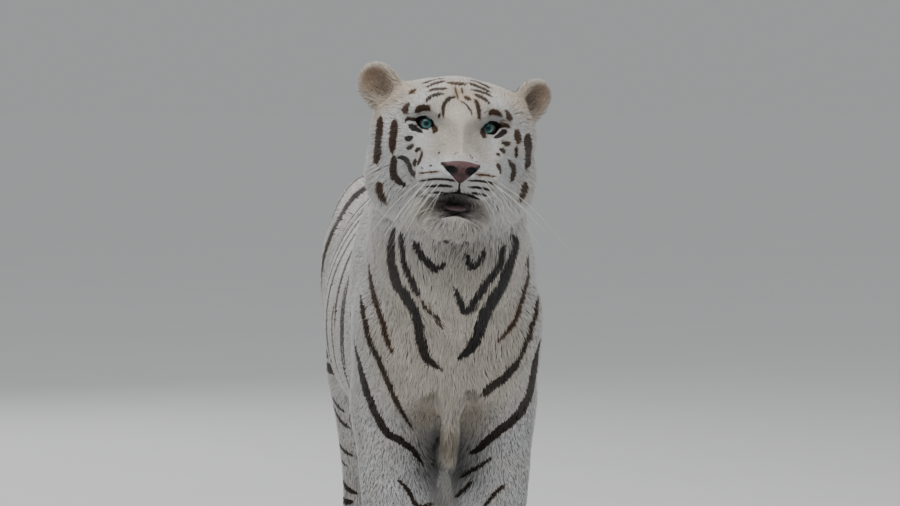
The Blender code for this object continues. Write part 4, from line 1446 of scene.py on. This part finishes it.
TUFT_FACES = np.array([(1, 2, 4), (2, 3, 4), (3, 1, 4), (2, 1, 0), (3, 2, 0), (1, 3, 0)])
TUFT_PATCH = np.array([(0.5, 0.0), (0.0, 0.5), (0.5, 0.6), (1.0, 0.5), (0.5, 1.0)]) * SPREAD


def bake_places(roots, ups):
    """Each root's place in the baking map: the skin seen along the six ways of a box."""
    facing = np.abs(ups).argmax(1)
    sign = (ups[np.arange(len(ups)), facing] > 0).astype(int)
    low, span = roots.min(0), np.ptp(roots, axis=0).max() + 1e-6
    flat = (roots - low) / span
    first = np.where(facing == 0, flat[:, 1], flat[:, 0])
    second = np.where(facing == 2, flat[:, 1], flat[:, 2])
    return np.stack([(facing + first * (1 - 4 * SPREAD)) / 3, (sign + second * (1 - 3 * SPREAD)) / 2], 1)


def tuft_mesh(name, points, ups, roots, side):
    count = len(points)
    mesh = bpy.data.meshes.new(name)
    mesh.vertices.add(count * 5)
    mesh.vertices.foreach_set("co", points.astype(np.float32).ravel())
    faces = (TUFT_FACES[None] + np.arange(count)[:, None, None] * 5).reshape(-1, 3)
    mesh.loops.add(faces.size)
    mesh.loops.foreach_set("vertex_index", faces.ravel().astype(np.int32))
    mesh.polygons.add(len(faces))
    mesh.polygons.foreach_set("loop_start", np.arange(0, faces.size, 3, dtype=np.int32))
    mesh.update(calc_edges=True)
    layer = mesh.uv_layers.new(name="OFBake")
    places = bake_places(roots, ups)[:, None, None] + TUFT_PATCH[TUFT_FACES][None]
    layer.data.foreach_set("uv", places.astype(np.float32).ravel())
    mesh.shade_smooth()
    lit = np.stack([ups, ups + side * 0.7, ups, ups - side * 0.7, ups], 1).reshape(-1, 3)
    mesh.normals_split_custom_set_from_vertices(unit(lit))
    return mesh


ALONG_TUFT = [(0.0, -2.2), (0.4, -0.1), (0.95, 1.0)]  # shares of its length, and shades painted there: painted shade at the root, painted light at the tip
FULL_SHADE = 0.003  # a tuft this high has those painted shades in full
RAGGED = 0.05  # of its length, by which the edge of a stripe strays on it
ALONG_ORDER = (0, 1, 1, 1, 2)  # which of them each vertex takes


def make_coat(skin, marks, fur):
    rng = np.random.default_rng(7)
    roots, ups, coat = plant(skin, rng)
    ahead, side, length, height, width = lay(roots, ups, coat, rng)
    points = tuft_points(roots, ups, ahead, side, length, height, width)
    shade = rng.normal(0, 1, len(roots)) + sway(roots, 0.05, 3) * 0.6
    ragged = rng.normal(0, RAGGED, len(roots)) * length[:, 0]
    dark = np.clip(height[:, 0] / FULL_SHADE, 0.3, 1)
    samples = [roots + ahead * length * t for t, _ in ALONG_TUFT]
    sides, halves, tone = markings(roots + ahead * length * 0.6, ups, marks, samples)
    # each tuft's random tone, plus painted shade in the hollows and at its root, and painted light at its tip
    shades = [shade + painted_shade(roots) + dark * part for _, part in ALONG_TUFT]
    grown = [np.stack([part[i] for i in ALONG_ORDER], 1) for part in (sides, halves, shades)]
    even = {"tone": tone, **grounds(roots)}
    centres = np.array([out_of(axes, place) for axes, place in PIECES.values()])
    owner = ((roots[:, None] - centres[None]) ** 2).sum(2).argmin(1)
    for k, name in enumerate(PIECES):
        mine = owner == k
        mesh = tuft_mesh(name, points[mine], ups[mine], roots[mine], side[mine])
        side_here, half_here, shade_here = (part[mine].ravel() for part in grown)
        half_here = half_here - np.repeat(ragged[mine], 5)
        store(mesh, {"side": side_here, "half": half_here, "shade": shade_here,
                     **{key: np.repeat(value[mine], 5) for key, value in even.items()}})
        piece(name, mesh, fur)


# ---------------------------------------------------------------- materials

class Nodes:
    """A material's nodes, added and linked in short calls."""

    def __init__(self, name):
        self.material = bpy.data.materials.new(name)
        self.material.use_nodes = True
        self.tree = self.material.node_tree
        self.shader = self.tree.nodes["Principled BSDF"]

    def add(self, kind, inputs=(), out=0, **settings):
        node = self.tree.nodes.new("ShaderNode" + kind)
        for key, value in settings.items():
            setattr(node, key, value)
        for key, value in dict(inputs).items():
            self.feed(node.inputs[key], value)
        return node.outputs[out]

    def feed(self, socket, value):
        if isinstance(value, bpy.types.NodeSocket):
            self.tree.links.new(value, socket)
        else:
            socket.default_value = value

    def set(self, **values):
        for key, value in values.items():
            self.feed(self.shader.inputs[key.replace("_", " ")], value)

    def reads(self, name):
        return self.add("Attribute", attribute_name=name, out="Fac")

    def math(self, operation, a, b=0.0):
        return self.add("Math", {0: a, 1: b}, operation=operation)

    def times(self, a, b):
        return self.math("MULTIPLY", a, b)

    def fade(self, value, start, end):
        """0 at start and 1 at end, evened between."""
        inputs = {"Value": value, "From Min": start, "From Max": end}
        return self.add("MapRange", inputs, interpolation_type="SMOOTHSTEP")

    def mix(self, factor, a, b):
        node = self.tree.nodes.new("ShaderNodeMix")
        node.data_type = "RGBA"
        self.feed(node.inputs["Factor"], factor)
        self.feed(node.inputs[6], a)
        self.feed(node.inputs[7], b)
        return node.outputs[2]

    def noise(self, scale, detail=2.0):
        inputs = {"Vector": self.place(), "Scale": scale, "Detail": detail, "Roughness": 0.5}
        return self.add("TexNoise", inputs)

    def place(self):
        return self.add("TexCoord", out="Object")

    def bump(self, height, strength, distance):
        normal = self.add("Bump", {"Height": height, "Strength": strength, "Distance": distance})
        self.set(Normal=normal)


COOL_WHITE = (0.5, 0.507, 0.515, 1)
CREAM = (0.47, 0.4, 0.3, 1)
TAN = (0.32, 0.215, 0.145, 1)
BLACK = (0.012, 0.01, 0.009, 1)
BROWN = (0.058, 0.028, 0.014, 1)
FRINGE = (0.3, 0.2, 0.12, 1)
# black of the lips and lid rims; inside the mouth the same black is painted shade
BLACK_SKIN_AND_MOUTH_SHADE = (0.005, 0.004, 0.004, 1)
LIP = (0.16, 0.115, 0.11, 1)


def fur_colour(nodes):
    """White with stripes, warm in places; the same on skin and tufts."""
    stripe = nodes.math("SUBTRACT", nodes.math("ABSOLUTE", nodes.reads("side")), nodes.reads("half"))
    ragged = nodes.times(nodes.math("SUBTRACT", nodes.noise(260.0), 0.5), 0.003)
    edge = nodes.math("ADD", stripe, ragged)
    white = nodes.mix(nodes.reads("warm"), COOL_WHITE, CREAM)
    white = nodes.mix(nodes.times(nodes.reads("tan"), 0.92), white, TAN)
    patch = nodes.times(nodes.fade(nodes.noise(14.0), 0.45, 0.75), 0.25)
    white = nodes.mix(patch, white, CREAM)
    tone = nodes.reads("tone")
    fringe = nodes.times(nodes.fade(edge, 0.0045, 0.0), nodes.times(tone, 0.8))
    white = nodes.mix(fringe, white, FRINGE)
    ink = nodes.mix(tone, BLACK, BROWN)
    coat = nodes.mix(nodes.fade(edge, 0.0008, -0.001), white, ink)
    # the shade attribute sets the brightness: random tone per tuft, with painted shade and painted light
    light = nodes.math("ADD", nodes.times(nodes.reads("shade"), 0.115), 1.0)
    return nodes.add("HueSaturation", {"Color": coat, "Value": light})


def fur_material():
    nodes = Nodes("fur")
    nodes.set(Base_Color=fur_colour(nodes), Roughness=0.65, Sheen_Weight=0.15, Sheen_Roughness=0.5,
              Specular_IOR_Level=0.25)
    return nodes.material


def skin_material():
    nodes = Nodes("skin")
    gap = nodes.reads("bare")
    bare = nodes.fade(gap, 0.0006, -0.0004)
    mottle = nodes.times(nodes.reads("low"), nodes.fade(nodes.noise(330.0, 3.0), 0.42, 0.6))
    lips = nodes.mix(mottle, BLACK_SKIN_AND_MOUTH_SHADE, LIP)
    colour = nodes.mix(bare, fur_colour(nodes), lips)
    roughness = nodes.math("SUBTRACT", 0.75, nodes.times(bare, 0.25))
    nodes.set(Base_Color=colour, Roughness=roughness, Specular_IOR_Level=0.25)
    nodes.bump(nodes.noise(420.0, 3.0), 0.35, 0.0012)
    return nodes.material


def nose_material():
    nodes = Nodes("nose_leather")
    blotch = nodes.fade(nodes.noise(90.0, 3.0), 0.42, 0.62)
    colour = nodes.mix(blotch, (0.085, 0.03, 0.032, 1), (0.035, 0.015, 0.016, 1))
    # painted shade: near black inside the nostrils
    colour = nodes.mix(nodes.fade(nodes.reads("pit"), 0.003, 0.0004), colour, (0.004, 0.003, 0.003, 1))
    cells = nodes.add("TexVoronoi", {"Vector": nodes.place(), "Scale": 700.0}, feature="DISTANCE_TO_EDGE")
    nodes.set(Base_Color=colour, Roughness=0.45, Specular_IOR_Level=0.4)
    nodes.bump(nodes.fade(cells, 0.0, 0.25), 0.35, 0.0006)
    return nodes.material


def eye_material():
    """Iris, pupil and dark white of the eye, round the eyeball's own -Y axis."""
    nodes = Nodes("eye")
    x, z = (nodes.add("SeparateXYZ", {0: nodes.place()}, out=k) for k in (0, 2))
    far = nodes.math("SQRT", nodes.math("ADD", nodes.times(x, x), nodes.times(z, z)))
    turn = nodes.math("ARCTAN2", z, x)
    rays = nodes.add("CombineXYZ", {0: nodes.times(nodes.math("SINE", turn), 9.0),
                                    1: nodes.times(nodes.math("COSINE", turn), 9.0),
                                    2: nodes.times(far, 140.0)})
    streak = nodes.add("TexNoise", {"Vector": rays, "Scale": 1.6, "Detail": 4.0})
    pale = nodes.mix(nodes.fade(streak, 0.3, 0.7), (0.05, 0.145, 0.155, 1), (0.16, 0.32, 0.33, 1))
    # painted shade of the upper lid: the iris darkens toward its top
    iris = nodes.mix(nodes.fade(z, 0.006, -0.006), (0.02, 0.09, 0.1, 1), pale)
    iris = nodes.mix(nodes.fade(far, 0.0064, 0.004), iris, (0.006, 0.06, 0.065, 1))
    iris = nodes.mix(nodes.fade(far, 0.0078, 0.0098), iris, (0.006, 0.018, 0.022, 1))
    iris = nodes.mix(nodes.fade(far, 0.0036, 0.0029), iris, (0.002, 0.002, 0.002, 1))
    white = nodes.mix(nodes.fade(far, 0.0115, 0.014), (0.03, 0.018, 0.014, 1), (0.008, 0.006, 0.006, 1))
    nodes.set(Base_Color=nodes.mix(nodes.fade(far, 0.0097, 0.0103), iris, white), Roughness=0.25)
    nodes.set(Specular_IOR_Level=0.15, Coat_Weight=0.6, Coat_Roughness=0.02)
    return nodes.material


def tongue_material():
    nodes = Nodes("tongue")
    blotch = nodes.noise(160.0, 3.0)
    # colours darkened well below a tongue's own pink: painted shade inside the mouth
    colour = nodes.mix(blotch, (0.115, 0.072, 0.076, 1), (0.06, 0.038, 0.042, 1))
    nodes.set(Base_Color=colour, Roughness=0.38)
    nodes.bump(nodes.add("TexVoronoi", {"Vector": nodes.place(), "Scale": 900.0}), 0.5, 0.0008)
    return nodes.material


def mottled(name, scale, first, second, roughness):
    """A material that varies between two colours."""
    nodes = Nodes(name)
    nodes.set(Base_Color=nodes.mix(nodes.noise(scale), first, second), Roughness=roughness)
    return nodes.material


def whisker_material():
    return mottled("whisker", 60.0, (0.66, 0.65, 0.6, 1), (0.52, 0.5, 0.45, 1), 0.35)


def claw_material():
    return mottled("claw", 180.0, (0.55, 0.47, 0.36, 1), (0.34, 0.26, 0.19, 1), 0.3)


# ---------------------------------------------------------------- pieces

SHIFT = sum((np.array(c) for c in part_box("eye_left")), np.zeros(3)) / 2 - eye_axes(1)[0]


def link(name, data):
    thing = bpy.data.objects.new(name, data)
    bpy.context.scene.collection.objects.link(thing)
    return thing


def new_object(name, mesh, material):
    mesh.materials.append(material)
    return link(name, mesh)


def piece(name, mesh, material):
    """A mesh modelled in the tiger's own frame, moved to where its solids stand."""
    mesh.transform(Matrix.Translation(SHIFT))
    thing = new_object(name, mesh, material)
    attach(thing, "root")
    return thing


def solids_tree():
    """The outer surface of the solids, in the tiger's own frame."""
    corners, faces = [], []
    for name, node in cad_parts.items():
        if name.startswith(("eye", "tongue")):
            continue
        first = len(corners)
        corners += [v.co - Vector(SHIFT) for v in node.data.vertices]
        faces += [[first + i for i in p.vertices] for p in node.data.polygons]
    return BVHTree.FromPolygons(corners, faces)


def make_eyes(material):
    camera = EYES + view_axes()[1] * VIEW_DISTANCE
    for side, name in SIDES:
        centre = eye_axes(side)[0]
        gaze = unit((camera - centre)[None])[0]
        bm = bmesh.new()
        bmesh.ops.create_uvsphere(bm, u_segments=48, v_segments=32, radius=EYE_RADIUS - 0.0002)
        bmesh.ops.rotate(bm, cent=(0, 0, 0), matrix=Matrix.Rotation(math.radians(90), 3, "X"), verts=bm.verts)
        thing = new_object(f"eyeball_{name}", to_mesh(bm, "eyeball"), material)
        thing.matrix_world = (Matrix.Translation(centre + SHIFT)
                              @ Vector(-gaze).to_track_quat("Y", "Z").to_matrix().to_4x4())
        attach(thing, "root")
        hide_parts(f"eye_{name}")


def sweep(bm, path, radii, sides=6):
    """A closed tapered tube along a path."""
    rings = []
    path = np.asarray(path)
    for i, (point, radius) in enumerate(zip(path, radii)):
        run = path[min(i + 1, len(path) - 1)] - path[max(i - 1, 0)]
        first = np.cross(run, (0.31, 0.17, 0.93))
        first /= np.linalg.norm(first)
        second = np.cross(run / np.linalg.norm(run), first)
        turns = np.linspace(0, 2 * math.pi, sides, endpoint=False)
        rings.append([bm.verts.new(point + radius * (math.cos(a) * first + math.sin(a) * second))
                      for a in turns])
    for low, high in zip(rings[:-1], rings[1:]):
        for k in range(sides):
            n = (k + 1) % sides
            bm.faces.new((low[k], low[n], high[n], high[k]))
    bm.faces.new(rings[0][::-1])
    bm.faces.new(rings[-1])


def to_mesh(bm, name):
    mesh = bpy.data.meshes.new(name)
    bmesh.ops.recalc_face_normals(bm, faces=bm.faces)
    bm.to_mesh(mesh)
    bm.free()
    mesh.shade_smooth()
    return mesh


WHISKER_ROWS = [  # height in millimetres below the eyes, and places out from the middle
    (-92, (38, 50)),
    (-101, (30, 42, 54, 66)),
    (-109, (26, 38, 50, 62)),
    (-117, (30, 42, 54)),
]


def whisker(bm, root, way, length, droop, thick):
    along_it = np.linspace(0, 1, 11)
    t = along_it[:, None]
    path = root + way * length * t + np.array((0, 0.15, -1.0)) * droop * length * t ** 2
    sweep(bm, path, thick * (1 - 0.85 * along_it ** 1.3), sides=5)


def make_whiskers(solids, material):
    right, back, up = view_axes()
    camera = EYES + back * VIEW_DISTANCE
    for side, name in SIDES:
        rng = np.random.default_rng(11 + side)
        bm = bmesh.new()
        for level, places in WHISKER_ROWS:
            for place in places:
                aim = EYES + right * side * (place + 1.5 * side) / 1000 + up * level / 1000 - camera
                hit = solids.ray_cast(Vector(camera), Vector(aim))[0]
                root = np.array(hit) + np.array((0, 0.004, 0))
                out = 0.42 + 0.009 * (place - 26)
                way = np.array((side * out, -0.22 + rng.uniform(-0.1, 0.1), -0.56 + rng.uniform(-0.16, 0.16)))
                way /= np.linalg.norm(way)
                length = 0.052 + 0.0015 * (place - 20) + rng.uniform(-0.01, 0.022)
                whisker(bm, root, way, length, rng.uniform(0.2, 0.4), 0.00048)
        for k in range(3):  # over the eye
            root = out_of(HEAD, (side * (0.046 + 0.006 * k), -0.01 + 0.004 * k, 0.036))
            way = unit(np.array([(side * (0.25 + 0.2 * k), -0.35, 1.0)]))[0]
            whisker(bm, root, way, 0.045, 0.35, 0.0004)
        piece(f"whiskers_{name}", to_mesh(bm, "whiskers"), material)


CLAW_LENGTH = 0.015
CLAW_RADIUS = 0.003


def make_claws(material):
    """Drawn-in claws, of which the ends show between the toes' hair."""
    t = np.linspace(0, 1, 7)[:, None]
    curve = np.array((0, 0, 1)) * (0.002 * t - 0.011 * t ** 2)
    thick = CLAW_RADIUS * (1 - 0.9 * t[:, 0] ** 1.5)
    for side, hand in SIDES:
        for foot, x, y, size in feet(side):
            axes = axes_at((x, y, 0), (0, 0, side * FOOT_TURN))
            bm = bmesh.new()
            for toe_x, toe_y, height, _ in TOES:
                for toe_side in (-1, 1):
                    turn = math.radians(-toe_side * toe_x * TOE_SPLAY)
                    ahead = np.array((math.sin(turn), -math.cos(turn), 0.0))
                    start = np.array((toe_side * toe_x, toe_y, height)) * size + ahead * 0.02 * size
                    sweep(bm, out_of(axes, start + ahead * CLAW_LENGTH * t + curve), thick, sides=8)
            piece(f"claws_{foot}_{hand}", to_mesh(bm, "claws"), material)


def make_tongue(material):
    """A flat tongue with a furrow down its middle."""
    axes = axes_at((0, -0.072, -0.1415), (5, 0, 0), HEAD)
    bm = bmesh.new()
    bmesh.ops.create_uvsphere(bm, u_segments=48, v_segments=24, radius=1.0)
    for v in bm.verts:
        x, y, z = v.co
        furrow = 0.0016 * math.exp(-(x / 0.16) ** 2) * max(z, 0)
        v.co = Vector(out_of(axes, (x * 0.019, y * 0.04, z * 0.0066 - furrow)))
    mesh = to_mesh(bm, "tongue_blade")
    thing = piece("tongue_blade", mesh, material)
    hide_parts("tongue")


# ---------------------------------------------------------------- room, light and camera

def area_light(name, place, aim, size, power, colour=(1, 1, 1)):
    light = bpy.data.lights.new(name, "AREA")
    light.shape = "SQUARE"
    light.size = size
    light.energy = power
    light.color = colour
    thing = link(name, light)
    thing.location = place
    thing.rotation_euler = (Vector(aim) - thing.location).to_track_quat("-Z", "Y").to_euler()


def make_room():
    material = mottled("floor", 3.0, (0.73, 0.73, 0.73, 1), (0.76, 0.76, 0.76, 1), 0.9)
    bm = bmesh.new()
    bmesh.ops.create_grid(bm, x_segments=1, y_segments=1, size=40.0)
    floor = new_object("floor", to_mesh(bm, "floor"), material)
    floor.location.z = -0.0005
    light_world()
    area_light("key", (-0.8, -2.9, 4.1), (0, -0.4, 0.8), 2.6, 128, (1.0, 0.98, 0.95))
    area_light("fill", (3.2, -2.6, 2.0), (0, -0.3, 0.8), 2.6, 11, (0.93, 0.97, 1.0))
    area_light("top", (0.0, 0.8, 3.8), (0, 0.2, 0.9), 2.6, 42)
    area_light("rear", (-1.5, 4.2, 2.4), (0, 0.6, 0.8), 2.2, 40)


HORIZON = 0.355  # brightness of the room at eye level
ZENITH = 0.53  # so that the far floor looks as bright as the room behind it


def light_world():
    """A pale room, brighter overhead."""
    world = bpy.data.worlds.new("studio")
    world.use_nodes = True
    tree = world.node_tree
    place = tree.nodes.new("ShaderNodeTexCoord")
    split = tree.nodes.new("ShaderNodeSeparateXYZ")
    level = tree.nodes.new("ShaderNodeMapRange")
    level.inputs["To Min"].default_value = HORIZON
    level.inputs["To Max"].default_value = ZENITH
    shade = tree.nodes["Background"]
    shade.inputs["Color"].default_value = (0.97, 0.99, 1.0, 1)
    tree.links.new(place.outputs["Generated"], split.inputs[0])
    tree.links.new(split.outputs[2], level.inputs["Value"])
    tree.links.new(level.outputs[0], shade.inputs["Strength"])
    bpy.context.scene.world = world


PICTURE_WIDTH = 1.57  # what the picture spans at the eyes
SENSOR = 36  # millimetres


def make_camera():
    right, back, up = view_axes()
    eyes = EYES + SHIFT
    aside, above = 0.014, -0.2215  # of the eyes, from the middle of the picture
    camera = bpy.data.cameras.new("camera")
    camera.sensor_width = SENSOR
    camera.lens = SENSOR * VIEW_DISTANCE / PICTURE_WIDTH
    thing = link("camera", camera)
    thing.location = eyes + back * VIEW_DISTANCE - right * aside + up * above
    thing.rotation_euler = Vector(-back).to_track_quat("-Z", "Y").to_euler()
    bpy.context.scene.camera = thing


def build():
    solids = solids_tree()
    mesh = make_skin()
    tree = BVHTree.FromPolygons([v.co for v in mesh.vertices], [p.vertices for p in mesh.polygons])
    rng = np.random.default_rng(3)
    strokes = [made for row in FRONT_STROKES for made in front_strokes(row, solids, tree)]
    strokes += trunk_strokes(tree, rng) + limb_strokes(tree, rng)
    strokes += tail_strokes(tree, rng) + neck_strokes(tree, rng)
    marks = pieces_of(strokes)
    paint_skin(mesh, marks)
    make_coat(mesh, marks, fur_material())
    skin = piece("skin", mesh, skin_material())
    flesh = [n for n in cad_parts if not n.startswith(("eye", "tongue", "nose"))]
    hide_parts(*flesh)
    nose = piece("nose_leather", make_nose(), nose_material())
    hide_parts("nose")
    make_eyes(eye_material())
    make_tongue(tongue_material())
    make_whiskers(solids, whisker_material())
    make_claws(claw_material())
    make_room()
    make_camera()


build()
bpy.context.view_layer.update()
